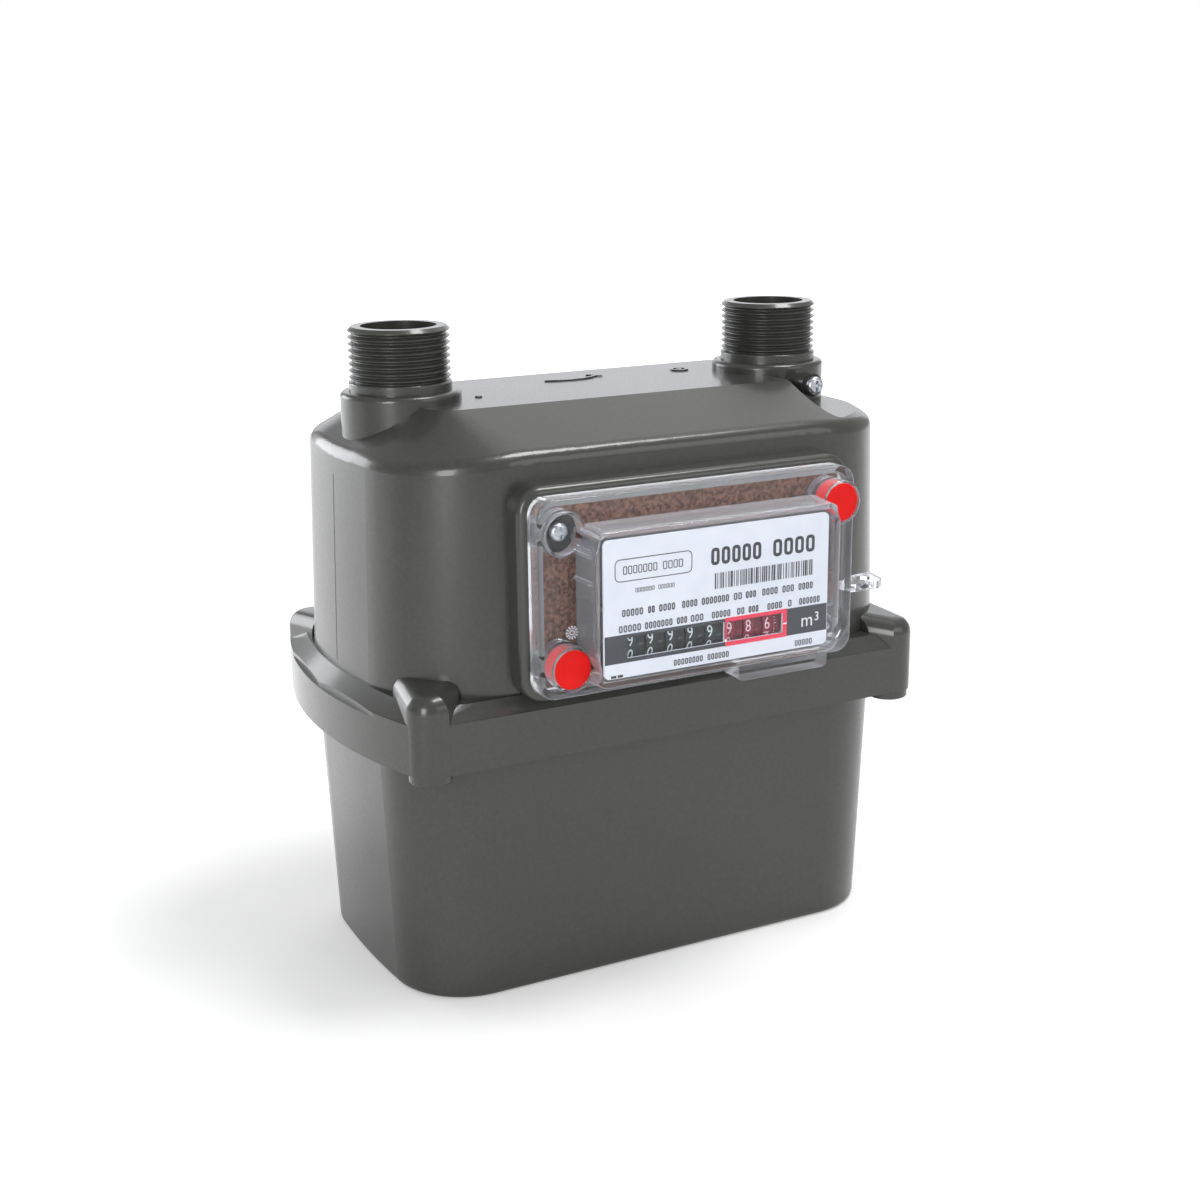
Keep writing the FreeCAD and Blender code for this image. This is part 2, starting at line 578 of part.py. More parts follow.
def index_frame():
    back = box(-44.5, 45.0, -75.4, -73.6, 124.5, 171.0)
    hood = box(-44.5, 45.0, DIAL_FRONT_Y + DIAL_T + 0.05, -75.0, 150.0, 171.0)
    hood = hood.cut(box(-42.5, 43.0, -87.2, -74.0, 152.0, 169.0))
    pieces = [back, hood]
    for x0, x1 in CHEEKS:
        pieces.append(box(x0, x1, -86.5, -75.0, 125.0, 151.0))
    body = fuse(pieces).cut(box(-36.6, 31.0, -75.0 - 2, -70.0, 124.9, 146.9))
    body = body.cut(rod(DRUM_SHAFT_R, V(-60, DRUM_Y, DRUM_Z), RIGHT, 120))
    body = body.cut(rod(PINION_SHAFT_R, V(-60, DRUM_Y, DRUM_Z + PINION_RISE), RIGHT, 120))
    return body.cut(rod(7.0, V(CRANK_X, -90, DRIVE_Z), V(0, 1, 0), 30))


def drum_shaft():
    return rod(DRUM_SHAFT_R, V(CHEEKS[0][0], DRUM_Y, DRUM_Z), RIGHT, CHEEKS[1][1] - CHEEKS[0][0])


def pinion_shaft():
    start = V(CHEEKS[0][0], DRUM_Y, DRUM_Z + PINION_RISE)
    return rod(PINION_SHAFT_R, start, RIGHT, CHEEKS[1][1] - CHEEKS[0][0])


def toothed_wheel(outer_r, root_r, teeth, x0, width, y, z):
    """Spur wheel about an axis along X."""
    wheel = rod(outer_r, V(x0, y, z), RIGHT, width)
    gap = math.pi * outer_r / teeth
    for n in range(teeth):
        notch = Part.makeBox(width, gap, outer_r - root_r + 1, V(x0, y - gap / 2, z + root_r))
        notch.rotate(V(x0, y, z), RIGHT, 360.0 * n / teeth)
        wheel = wheel.cut(notch)
    return wheel


def number_drum(n):
    x0 = DRUM_FIRST_X + n * DRUM_PITCH - DRUM_WIDTH / 2
    start = V(x0, DRUM_Y, DRUM_Z)
    rim = ring(DRUM_R, DRUM_R - 1.1, start, RIGHT, DRUM_WIDTH)
    web = rod(DRUM_R - 0.5, V(x0 + 2.6, DRUM_Y, DRUM_Z), RIGHT, 1.4)
    hub = rod(2.8, start, RIGHT, DRUM_WIDTH)
    gear = toothed_wheel(6.6, 5.6, 20, x0 + 3.5, 2.4, DRUM_Y, DRUM_Z)
    body = fuse([rim, web, hub, gear])
    return body.cut(rod(DRUM_SHAFT_R + FIT, V(x0 - 1, DRUM_Y, DRUM_Z), RIGHT, DRUM_WIDTH + 2))


def transfer_pinion(n):
    """Pinion over the gap between drum n and the faster drum beside it."""
    x0 = DRUM_FIRST_X + n * DRUM_PITCH + DRUM_WIDTH / 2 - 1.6
    z = DRUM_Z + PINION_RISE
    body = toothed_wheel(PINION_R, 1.9, 8, x0, 3.8, DRUM_Y, z)
    return body.cut(rod(PINION_SHAFT_R + FIT, V(x0 - 1, DRUM_Y, z), RIGHT, 6))


def drum_gear():
    """Crown wheel on the fastest drum; its teeth face the drive pinion on the right."""
    x0 = DRUM_GEAR_X
    disc = rod(7.6, V(x0, DRUM_Y, DRUM_Z), RIGHT, 1.6)
    crown = ring(7.6, 6.0, V(x0 + 1.6, DRUM_Y, DRUM_Z), RIGHT, 1.0)
    teeth = 40
    for n in range(teeth):
        slot = Part.makeBox(2, 0.55, 3, V(x0 + 1.8, DRUM_Y - 0.275, DRUM_Z + 5.5))
        slot.rotate(V(x0, DRUM_Y, DRUM_Z), RIGHT, 360.0 * n / teeth)
        crown = crown.cut(slot)
    sleeve = rod(2.8, V(25.3, DRUM_Y, DRUM_Z), RIGHT, x0 - 25.3)
    body = fuse([disc, crown, sleeve])
    return body.cut(rod(DRUM_SHAFT_R + FIT, V(20, DRUM_Y, DRUM_Z), RIGHT, 15))


def pulse_magnet():
    """Small magnet in the fastest drum that a pulse sensor would read."""
    x_centre = DRUM_FIRST_X + (DRUM_COUNT - 1) * DRUM_PITCH
    return rod(1.1, V(x_centre - DRUM_WIDTH / 2 + 0.4, DRUM_Y, DRUM_Z + 5.1), RIGHT, 2.1)


# ---- drive from the measuring unit to the index ----------------------------------------------
def bevel(apex, axis, near, far, teeth):
    """Straight bevel wheel on a 45 degree cone; axis points from the wheel to the apex."""
    shrink = 0.6
    base = apex - axis * far
    cone = Part.makeCone(far - shrink, near - shrink, far - near, V(0, 0, 0), UP)
    for n in range(teeth):
        slot = Part.makeBox(far * 1.5, 0.9, 1.4, V(0, -0.45, -0.7))
        slot.rotate(V(0, 0, 0), V(0, 1, 0), 45)
        slot.translate(V(near - shrink - 0.6, 0, far - near + 0.7))
        slot.rotate(V(0, 0, 0), UP, 360.0 * n / teeth)
        cone = cone.cut(slot)
    cone.Placement = FreeCAD.Placement(base, FreeCAD.Rotation(UP, axis))
    return cone


def crankshaft():
    z_pin = 117.6
    shaft = rod(ROD_R, V(CRANK_X, 0, DECK_TOP - 3), UP, DRIVE_Z - BEVEL_FAR - DECK_TOP + 3)
    disc = rod(7.0, V(CRANK_X, 0, 114.4), UP, z_pin - 114.4)
    pin = rod(1.4, V(CRANK_X + CRANK_R, 0, z_pin - 0.5), UP, 3.2)
    return fuse([shaft, disc, pin])


def crank_gear():
    return bevel(V(CRANK_X, 0, DRIVE_Z), UP, BEVEL_NEAR, BEVEL_FAR, 16)


def drive_shaft():
    return rod(SHAFT_R, V(CRANK_X, -BEVEL_FAR, DRIVE_Z), FRONT, -SHAFT_FRONT - BEVEL_FAR)


def drive_shaft_gear():
    return bevel(V(CRANK_X, 0, DRIVE_Z), V(0, 1, 0), BEVEL_NEAR, BEVEL_FAR, 16)


def index_pinion():
    """Eight-tooth pinion on the front end of the drive shaft, beside the crown wheel."""
    return pinion_along_y(V(CRANK_X, SHAFT_FRONT, DRIVE_Z), 2.0, 1.3, 8, 3.4)


def pinion_along_y(start, outer_r, root_r, teeth, width):
    wheel = rod(outer_r, start, FRONT, width)
    gap = math.pi * outer_r / teeth
    for n in range(teeth):
        notch = Part.makeBox(gap, width, outer_r, V(start.x - gap / 2, start.y - width, start.z + root_r))
        notch.rotate(start, V(0, 1, 0), 360.0 * n / teeth)
        wheel = wheel.cut(notch)
    return wheel


def gland_bush():
    body = rod(4.0, V(CRANK_X, PAD_FACE_Y, DRIVE_Z), V(0, 1, 0), 14.4)
    flange = rod(5.6, V(CRANK_X, PAD_FACE_Y, DRIVE_Z), FRONT, 1.6)
    return body.fuse(flange).cut(rod(SHAFT_R + FIT, V(CRANK_X, -90, DRIVE_Z), V(0, 1, 0), 50))


def shaft_bracket():
    foot = box(48.5, 55.5, -24, -10, DECK_TOP, DECK_TOP + 2.5)
    column = box(51.0, 54.0, -19.0, -13.0, DECK_TOP, DRIVE_Z + 4)
    arm = box(CRANK_X, 54.0, -18.0, -14.0, DRIVE_Z - 4, DRIVE_Z + 4)
    eye = rod(4.0, V(CRANK_X, -18, DRIVE_Z), V(0, 1, 0), 4)
    body = fuse([foot, column, arm, eye])
    return body.cut(rod(SHAFT_R + FIT, V(CRANK_X, -40, DRIVE_Z), V(0, 1, 0), 50))


# ---- measuring unit ---------------------------------------------------------------------------
def measuring_chamber():
    body = box(-CHAMBER_HALF_W, CHAMBER_HALF_W, -CHAMBER_HALF_D, CHAMBER_HALF_D, CHAMBER_BOTTOM, CHAMBER_TOP)
    inner_w = CHAMBER_HALF_W - CHAMBER_WALL
    for y0, y1 in ((-CHAMBER_HALF_D - 1, -1.5), (1.5, CHAMBER_HALF_D + 1)):
        body = body.cut(box(-inner_w, inner_w, y0, y1, CHAMBER_BOTTOM + CHAMBER_WALL, CHAMBER_TOP - CHAMBER_WALL))
    for sy in (-1, 1):
        body = body.cut(rod(ROD_R + FIT, V(FLAG_X, sy * FLAG_Y, 90), UP, 30))
        for x in (-4.0, 14.0):
            body = body.cut(box(x, x + 3.0, sy * FLAG_Y - 6, sy * FLAG_Y + 6, 90, 110))
    return body


def chamber_cover(sy):
    y_rim = sy * (CHAMBER_HALF_D + MEMBRANE_T)
    y_far = y_rim + sy * COVER_DEPTH
    y0, y1 = sorted((y_rim, y_far))
    body = box(-CHAMBER_HALF_W, CHAMBER_HALF_W, y0, y1, CHAMBER_BOTTOM, CHAMBER_TOP)
    edges = [e for e in body.Edges if abs(e.CenterOfMass.y - y_far) < 0.1]
    body = body.makeFillet(6.0, edges)
    wall = 2.4
    y0, y1 = sorted((y_rim - sy, y_far - sy * wall))
    hollow = box(-CHAMBER_HALF_W + wall + 2, CHAMBER_HALF_W - wall - 2, y0, y1,
                 CHAMBER_BOTTOM + wall + 2, CHAMBER_TOP - wall - 2)
    body = body.cut(hollow)
    for step in (-1, 0, 1):
        y_rib = sorted((y_far - sy * 0.1, y_far + sy * 1.0))
        body = body.fuse(box(-50, 50, y_rib[0], y_rib[1], 56 + step * 18, 58.4 + step * 18))
    return body.removeSplitter()


def membrane(sy):
    """Flexible diaphragm clamped between the chamber and its cover, with one rolled bead."""
    cz = (CHAMBER_BOTTOM + CHAMBER_TOP) / 2
    y0 = sy * CHAMBER_HALF_D if sy > 0 else -CHAMBER_HALF_D - MEMBRANE_T
    sheet = panel(0, cz, CHAMBER_HALF_W - 1, 47.0, 6.0, y0, MEMBRANE_T)
    bead_y = y0 if sy > 0 else y0 - 2.4
    bead = panel(0, cz, 64.0, 39.0, 12.0, bead_y, MEMBRANE_T + 2.4)
    bead = bead.cut(panel(0, cz, 60.0, 35.0, 9.0, bead_y - 1, 8))
    opening = panel(0, cz, PLATE_HALF_W + MEMBRANE_GAP, PLATE_HALF_H + MEMBRANE_GAP, 10.0, y0 - 5, 12)
    return sheet.fuse(bead).removeSplitter().cut(opening)


def diaphragm_plate(sy):
    cz = (CHAMBER_BOTTOM + CHAMBER_TOP) / 2
    y_mid = sy * (CHAMBER_HALF_D + MEMBRANE_T / 2)
    plate = panel(0, cz, PLATE_HALF_W, PLATE_HALF_H, 9.4, y_mid - PLATE_T / 2, PLATE_T)
    x0 = FLAG_X + FLAG_LENGTH - 6
    y_lug = sorted((y_mid, sy * (FLAG_Y + 2.4)))
    lug = box(x0, x0 + 4.0, y_lug[0], y_lug[1], cz - 14, cz + 14)
    return plate.fuse(lug).removeSplitter()


def flag(sy):
    """Upright rod with the wing that follows the diaphragm plate."""
    y = sy * FLAG_Y
    upright = rod(ROD_R, V(FLAG_X, y, CHAMBER_BOTTOM + CHAMBER_WALL + 1), UP, 115.0 - 13.0)
    wing = box(FLAG_X, FLAG_X + FLAG_LENGTH, y - 0.75, y + 0.75, 36, 78)
    wing = wing.cut(box(FLAG_X + 8, FLAG_X + FLAG_LENGTH - 8, y - 2, y + 2, 46, 68))
    return upright.fuse(wing).removeSplitter()


def flag_arm(sy):
    y = sy * FLAG_Y
    hub = rod(4.0, V(FLAG_X, y, ARM_Z), UP, 3.0)
    bar = box(FLAG_X, FLAG_X + ARM_LENGTH, y - 2.0, y + 2.0, ARM_Z, ARM_Z + 2.4)
    tip = rod(3.0, V(FLAG_X + ARM_LENGTH, y, ARM_Z), UP, 2.4)
    pin = rod(1.2, V(FLAG_X + ARM_LENGTH, y, ARM_Z), UP, 6.4)
    body = fuse([hub, bar, tip, pin])
    return body.cut(rod(ROD_R, V(FLAG_X, y, ARM_Z - 1), UP, 8))


def crank_link(sy):
    """Link from the flag arm towards the crank pin; it stops short of the pin."""
    x0 = FLAG_X + ARM_LENGTH
    start = V(x0, sy * FLAG_Y, ARM_Z + 3.0)
    end = V(24.0, sy * 9.6, ARM_Z + 3.0)
    along = end - start
    side = V(along.y, -along.x, 0)
    side.normalize()
    side = side * 1.9
    corners = [start + side, start - side, end - side, end + side]
    bar = Part.Face(Part.makePolygon(corners + corners[:1])).extrude(V(0, 0, 2.0))
    eyes = [rod(3.0, start, UP, 2.0), rod(2.4, end, UP, 2.0)]
    body = fuse([bar] + eyes)
    return body.cut(rod(1.2 + FIT, start - UP, UP, 5))


def valve_plate():
    body = box(-CHAMBER_HALF_W, CHAMBER_HALF_W, -44, 44, CHAMBER_TOP, DECK_TOP)
    for sy in (-1, 1):
        body = body.cut(rod(ROD_R + 0.4, V(FLAG_X, sy * FLAG_Y, 100), UP, 20))
        for x in (-4.0, 5.0, 14.0):
            body = body.cut(box(x, x + 3.0, sy * FLAG_Y - 6, sy * FLAG_Y + 6, 100, 120))
    body = body.cut(rod(ROD_R + FIT, V(CRANK_X, 0, DECK_TOP - 3.4), UP, 10))
    return body.cut(box(62, 76, -8, 8, DECK_TOP - 2, DECK_TOP + 2))


def flag_rod_seals():
    return Part.makeCompound([ring(4.6, ROD_R + FIT, V(FLAG_X, sy * FLAG_Y, DECK_TOP), UP, 3.0)
                              for sy in (-1, 1)])


def slide_valve(sy):
    y = sy * FLAG_Y
    z0 = DECK_TOP + FIT
    body = box(-3.5, 16.5, y - 8.5, y + 8.5, z0, z0 + 5.4)
    body = body.cut(box(2.0, 11.0, y - 6.0, y + 6.0, z0 - 1, z0 + 3.6))
    return fillet_where(body, 1.2, lambda e: e.BoundBox.ZMin > z0 + 5.3)


def outlet_duct():
    """Duct from the valve plate up to the post under the outlet spigot, with a flange that butts on it."""
    channel = box(58, 89, -13.5, 13.5, DECK_TOP, DUCT_SHELF_Z)
    channel = channel.cut(box(60, 87, -11.5, 11.5, DECK_TOP - 1, DUCT_SHELF_Z - 2))
    pipe = rod(DUCT_R, V(SPIGOT_X, 0, DUCT_SHELF_Z - 1), UP, KEEP_BOTTOM - DUCT_SHELF_Z + 1)
    flange = rod(KEEP_R - 1, V(SPIGOT_X, 0, KEEP_BOTTOM - 2.8), UP, 2.8)
    body = fuse([channel, pipe, flange])
    return body.cut(rod(DUCT_R - 2, V(SPIGOT_X, 0, DECK_TOP + 2), UP, KEEP_BOTTOM - DECK_TOP))


def build():
    nodes = {
        "upper_case": upper_case(),
        "lower_case": lower_case(),
        "case_gasket": case_gasket(),
        "case_screws": case_screws(),
        "test_point_screw": test_point_screw(),
        "test_point_washer": test_point_washer(),
        "index_cover": index_cover(),
        "index_gasket": index_gasket(),
        "index_screws": index_screws(),
        "seal_plug_lower": seal_plug(*SEALED_CORNERS[0]),
        "seal_plug_upper": seal_plug(*SEALED_CORNERS[1]),
        "dial_plate": dial_plate(),
        "index_frame": index_frame(),
        "drum_shaft": drum_shaft(),
        "pinion_shaft": pinion_shaft(),
        "drum_gear": drum_gear(),
        "pulse_magnet": pulse_magnet(),
        "index_pinion": index_pinion(),
        "drive_shaft": drive_shaft(),
        "drive_shaft_gear": drive_shaft_gear(),
        "gland_bush": gland_bush(),
        "shaft_bracket": shaft_bracket(),
        "crankshaft": crankshaft(),
        "crank_gear": crank_gear(),
        "measuring_chamber": measuring_chamber(),
        "valve_plate": valve_plate(),
        "flag_rod_seals": flag_rod_seals(),
        "outlet_duct": outlet_duct(),
    }
    for side, sy in (("front", -1), ("rear", 1)):
        nodes[side + "_chamber_cover"] = chamber_cover(sy)
        nodes[side + "_diaphragm"] = membrane(sy)
        nodes[side + "_diaphragm_plate"] = diaphragm_plate(sy)
        nodes[side + "_flag"] = flag(sy)
        nodes[side + "_flag_arm"] = flag_arm(sy)
        nodes[side + "_crank_link"] = crank_link(sy)
        nodes[side + "_slide_valve"] = slide_valve(sy)
    for n in range(DRUM_COUNT):
        nodes["number_drum_%d" % (n + 1)] = number_drum(n)
    for n in range(DRUM_COUNT - 1):
        nodes["transfer_pinion_%d" % (n + 1)] = transfer_pinion(n)
    return nodes


os.makedirs("parts", exist_ok=True)
for name, shape in build().items():
    shape.exportStep(os.path.join("parts", name + ".step"))
    print(name, shape.isValid(), len(shape.Solids), round(shape.Volume, 1))
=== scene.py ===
import bmesh
import bpy
import json
import math
import random
from mathutils import Matrix, Vector
from mathutils.bvhtree import BVHTree


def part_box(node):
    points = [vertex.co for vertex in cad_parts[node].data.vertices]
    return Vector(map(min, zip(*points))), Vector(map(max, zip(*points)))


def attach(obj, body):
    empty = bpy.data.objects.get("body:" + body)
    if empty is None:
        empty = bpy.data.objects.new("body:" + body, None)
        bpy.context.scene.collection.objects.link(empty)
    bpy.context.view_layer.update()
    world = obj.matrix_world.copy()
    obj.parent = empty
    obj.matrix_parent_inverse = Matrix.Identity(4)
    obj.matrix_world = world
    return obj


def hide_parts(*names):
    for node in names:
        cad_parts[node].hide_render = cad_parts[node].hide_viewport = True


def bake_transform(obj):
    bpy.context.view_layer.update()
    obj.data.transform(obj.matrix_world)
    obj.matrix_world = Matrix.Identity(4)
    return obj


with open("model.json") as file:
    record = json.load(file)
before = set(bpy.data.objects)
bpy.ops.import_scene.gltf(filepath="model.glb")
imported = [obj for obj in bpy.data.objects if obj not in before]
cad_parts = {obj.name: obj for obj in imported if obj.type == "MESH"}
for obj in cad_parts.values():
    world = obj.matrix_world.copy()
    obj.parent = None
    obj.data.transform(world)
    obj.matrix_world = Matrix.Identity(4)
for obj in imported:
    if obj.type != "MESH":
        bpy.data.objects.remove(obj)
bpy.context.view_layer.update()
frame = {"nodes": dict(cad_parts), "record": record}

MM = 0.001
RIGHT = Vector((1, 0, 0))
BACK = Vector((0, 1, 0))
UP = Vector((0, 0, 1))


# ---- camera, floor and light -----------------------------------------------------------------
CAMERA_PLACE = Vector((-0.3088, -0.5927, 0.3060))
CAMERA_TURN = math.radians(27.52)      # to the right of straight ahead
CAMERA_DROP = math.radians(15.95)      # below the horizon
CAMERA_ROLL = math.radians(-0.66)
CAMERA_LENS = 54.24
CAMERA_SHIFT = (0.0033, 0.020)


def make_camera():
    data = bpy.data.cameras.new("camera")
    data.lens = CAMERA_LENS
    data.shift_x, data.shift_y = CAMERA_SHIFT
    data.clip_start = 0.02
    camera = bpy.data.objects.new("camera", data)
    forward = Vector((math.sin(CAMERA_TURN) * math.cos(CAMERA_DROP),
                      math.cos(CAMERA_TURN) * math.cos(CAMERA_DROP),
                      -math.sin(CAMERA_DROP)))
    level = Vector((math.cos(CAMERA_TURN), -math.sin(CAMERA_TURN), 0))
    upright = level.cross(forward)
    side = math.cos(CAMERA_ROLL) * level + math.sin(CAMERA_ROLL) * upright
    top = math.cos(CAMERA_ROLL) * upright - math.sin(CAMERA_ROLL) * level
    turn = Matrix((side, top, -forward)).transposed().to_4x4()
    camera.matrix_world = Matrix.Translation(CAMERA_PLACE) @ turn
    bpy.context.scene.collection.objects.link(camera)
    bpy.context.scene.camera = camera


def softbox(name, place, aim, width, height, power, tint=(1, 1, 1)):
    data = bpy.data.lights.new(name, "AREA")
    data.shape = "RECTANGLE"
    data.size = width
    data.size_y = height
    data.energy = power
    data.color = tint
    lamp = bpy.data.objects.new(name, data)
    lamp.location = place
    lamp.rotation_euler = (Vector(aim) - Vector(place)).to_track_quat("-Z", "Y").to_euler()
    bpy.context.scene.collection.objects.link(lamp)


def make_world(for_camera, for_objects):
    """A white backdrop for the camera and a dimmer even light for the object."""
    world = bpy.data.worlds.new("studio")
    bpy.context.scene.world = world
    world.use_nodes = True
    tree = world.node_tree
    sky = tree.nodes["Background"]
    sky.inputs["Color"].default_value = (1, 1, 1, 1)
    seen = tree.nodes.new("ShaderNodeLightPath")
    level = tree.nodes.new("ShaderNodeMapRange")
    level.inputs["To Min"].default_value = for_objects
    level.inputs["To Max"].default_value = for_camera
    tree.links.new(seen.outputs["Is Camera Ray"], level.inputs["Value"])
    tree.links.new(level.outputs["Result"], sky.inputs["Strength"])


def make_studio():
    middle = (0, 0, 0.12)
    make_world(1.0, 0.42)
    softbox("key_left", (-1.05, -1.00, 0.50), middle, 0.40, 0.80, 8)
    softbox("overhead", (0.42, -0.30, 1.40), middle, 0.45, 0.45, 9)
    softbox("fill_front", (0.9, -1.5, 0.75), middle, 1.0, 0.8, 4)
    softbox("backdrop_glow", (1.25, 2.30, 0.85), middle, 2.6, 1.3, 9, (0.94, 0.95, 1.0))
    softbox("edge_left", (-1.00, 1.80, 0.50), middle, 1.2, 0.9, 14, (0.95, 0.97, 1.0))
    softbox("slope_glow", (0.95, 0.90, 1.55), middle, 1.3, 1.1, 3)
    floor = new_piece("floor", box_mesh((-4, -4, -0.02), (4, 4, 0)), floor_paper())
    bpy.context.scene.view_settings.view_transform = "Standard"


# ---- procedural finishes ---------------------------------------------------------------------
class Finish:
    """A material with one Principled shader. Patterns are measured in millimetres on the object."""

    def __init__(self, name, **sockets):
        self.material = bpy.data.materials.new(name)
        self.material.use_nodes = True
        self.tree = self.material.node_tree
        self.shader = self.tree.nodes["Principled BSDF"]
        for socket, value in sockets.items():
            self.shader.inputs[socket.replace("_", " ")].default_value = value
        self.place = self.tree.nodes.new("ShaderNodeTexCoord").outputs["Object"]

    def node(self, kind, operation=None):
        made = self.tree.nodes.new(kind)
        if operation:
            made.operation = operation
        return made

    def link(self, output, target):
        self.tree.links.new(output, target)
        return output

    def span(self, pattern, start, end, low, high):
        """Output that runs from low to high while the pattern runs from start to end."""
        made = self.node("ShaderNodeMapRange")
        for name, value in (("From Min", start), ("From Max", end), ("To Min", low), ("To Max", high)):
            made.inputs[name].default_value = value
        self.link(pattern, made.inputs["Value"])
        return made.outputs["Result"]

    def mix(self, share, first, second):
        """First shader giving way to the second as share goes from 0 to 1."""
        made = self.node("ShaderNodeMixShader")
        self.link(share, made.inputs["Fac"])
        self.link(first, made.inputs[1])
        self.link(second, made.inputs[2])
        return made.outputs["Shader"]

    def maths(self, operation, first, second):
        made = self.node("ShaderNodeMath", operation)
        self.link(first, made.inputs[0])
        made.inputs[1].default_value = second
        return made.outputs[0]

    def noise(self, size_mm, detail=2.0, stretch=(1, 1, 1)):
        """Soft cloudy pattern whose features are about size_mm across."""
        mapping = self.node("ShaderNodeMapping")
        mapping.inputs["Scale"].default_value = stretch
        self.link(self.place, mapping.inputs["Vector"])
        texture = self.node("ShaderNodeTexNoise")
        texture.inputs["Scale"].default_value = 1 / (size_mm * MM)
        texture.inputs["Detail"].default_value = detail
        self.link(mapping.outputs["Vector"], texture.inputs["Vector"])
        return texture.outputs["Fac"]

    def cells(self, size_mm):
        texture = self.node("ShaderNodeTexVoronoi")
        texture.inputs["Scale"].default_value = 1 / (size_mm * MM)
        self.link(self.place, texture.inputs["Vector"])
        return texture.outputs["Distance"]

    def colour(self, pattern, *stops):
        """Base colour running through stops of (pattern value, colour)."""
        ramp = self.node("ShaderNodeValToRGB")
        elements = ramp.color_ramp.elements
        while len(elements) < len(stops):
            elements.new(0.5)
        for element, (value, rgb) in zip(elements, stops):
            element.position = value
            element.color = (*rgb, 1)
        self.link(pattern, ramp.inputs["Fac"])
        self.link(ramp.outputs["Color"], self.shader.inputs["Base Color"])
        return ramp.outputs["Color"]

    def drive(self, pattern, socket, low, high, start=0.3, end=0.7):
        """Socket follows the pattern from low to high."""
        self.link(self.span(pattern, start, end, low, high), self.shader.inputs[socket])

    def relief(self, pattern, depth_mm, strength=1.0):
        bump = self.node("ShaderNodeBump")
        bump.inputs["Strength"].default_value = strength
        bump.inputs["Distance"].default_value = depth_mm * MM
        self.link(pattern, bump.inputs["Height"])
        self.link(bump.outputs["Normal"], self.shader.inputs["Normal"])


FLOOR_FOR_CAMERA = (0.22, 1.0)     # glow of the paper at the meter and towards the horizon
FLOOR_FADE = (0.35, 1.1)           # metres from the meter over which that glow grows
FLOOR_IN_GLOSS = 0.55              # glow of the paper behind the meter in the paint's reflections
GLOSS_FADE = (0.0, 0.3)            # metres behind the middle over which it sets in


def floor_paper():
    """White paper, brightened for the camera away from the object, so that only contact shadows read."""
    finish = Finish("floor_paper", Roughness=0.8, Specular_IOR_Level=0.1)
    white = finish.colour(finish.noise(60), (0.3, (0.93, 0.93, 0.93)), (0.7, (0.97, 0.97, 0.97)))
    finish.link(white, finish.shader.inputs["Emission Color"])
    away = finish.node("ShaderNodeVectorMath", "LENGTH")
    finish.link(finish.place, away.inputs[0])
    seen = finish.node("ShaderNodeLightPath")
    shown = finish.node("ShaderNodeMath", "MULTIPLY")
    finish.link(finish.span(away.outputs["Value"], *FLOOR_FADE, *FLOOR_FOR_CAMERA), shown.inputs[0])
    finish.link(seen.outputs["Is Camera Ray"], shown.inputs[1])
    spot = finish.node("ShaderNodeSeparateXYZ")
    finish.link(finish.place, spot.inputs["Vector"])
    glow = finish.node("ShaderNodeMath", "MULTIPLY_ADD")
    finish.link(seen.outputs["Is Glossy Ray"], glow.inputs[0])
    finish.link(finish.span(spot.outputs["Y"], *GLOSS_FADE, 0.0, FLOOR_IN_GLOSS), glow.inputs[1])
    finish.link(shown.outputs["Value"], glow.inputs[2])
    finish.link(glow.outputs["Value"], finish.shader.inputs["Emission Strength"])
    return finish.material


def case_paint():
    """Satin olive-grey stoving enamel over a die casting."""
    finish = Finish("case_paint", Coat_Weight=0.55, Coat_Roughness=0.13, Specular_IOR_Level=0.45)
    finish.colour(finish.noise(1.6, 4), (0.30, (0.036, 0.038, 0.033)), (0.50, (0.040, 0.042, 0.037)),
                  (0.72, (0.045, 0.047, 0.041)))
    finish.drive(finish.noise(0.9, 3), "Roughness", 0.30, 0.38)
    finish.relief(finish.noise(0.9, 3), 0.012, 0.5)
    return finish.material


def rubber(name, dark, light):
    finish = Finish(name)
    finish.colour(finish.noise(4, 3), (0.3, dark), (0.7, light))
    finish.drive(finish.noise(2), "Roughness", 0.62, 0.85)
    finish.relief(finish.noise(0.4), 0.02)
    return finish.material


def moulding(name, dark, light, smooth, rough, grain_mm=0.5, specular=0.5):
    """Injection-moulded plastic with faint flow marks and a fine spark-eroded grain."""
    finish = Finish(name, Specular_IOR_Level=specular)
    finish.colour(finish.noise(6, 3), (0.3, dark), (0.7, light))
    finish.drive(finish.noise(3, 2), "Roughness", smooth, rough)
    finish.relief(finish.noise(grain_mm), 0.012)
    return finish.material


def metal(name, dark, light, smooth, rough, stretch=(1, 1, 1)):
    finish = Finish(name, Metallic=1.0)
    finish.colour(finish.noise(1.6, 4, stretch), (0.3, dark), (0.7, light))
    finish.drive(finish.noise(0.7, 3, stretch), "Roughness", smooth, rough)
    finish.relief(finish.noise(0.3, 2, stretch), 0.008)
    return finish.material


def cork_backing():
    """Brown gasket sheet with darker granules."""
    finish = Finish("cork_backing")
    finish.colour(finish.noise(1.4, 6), (0.34, (0.050, 0.027, 0.020)), (0.50, (0.13, 0.062, 0.042)),
                  (0.62, (0.22, 0.115, 0.080)), (0.74, (0.09, 0.045, 0.034)))
    finish.drive(finish.noise(1.5), "Roughness", 0.55, 0.8)
    finish.relief(finish.cells(1.1), 0.08)
    return finish.material


GLOW_AND_HAZE_SHARE = 0.42          # most that the clear cover is painted whitish where it is seen along a wall: a painted glow of light led inside the plastic, with some real haze
FACE_SHARE = 0.56          # printed part of a drum's width


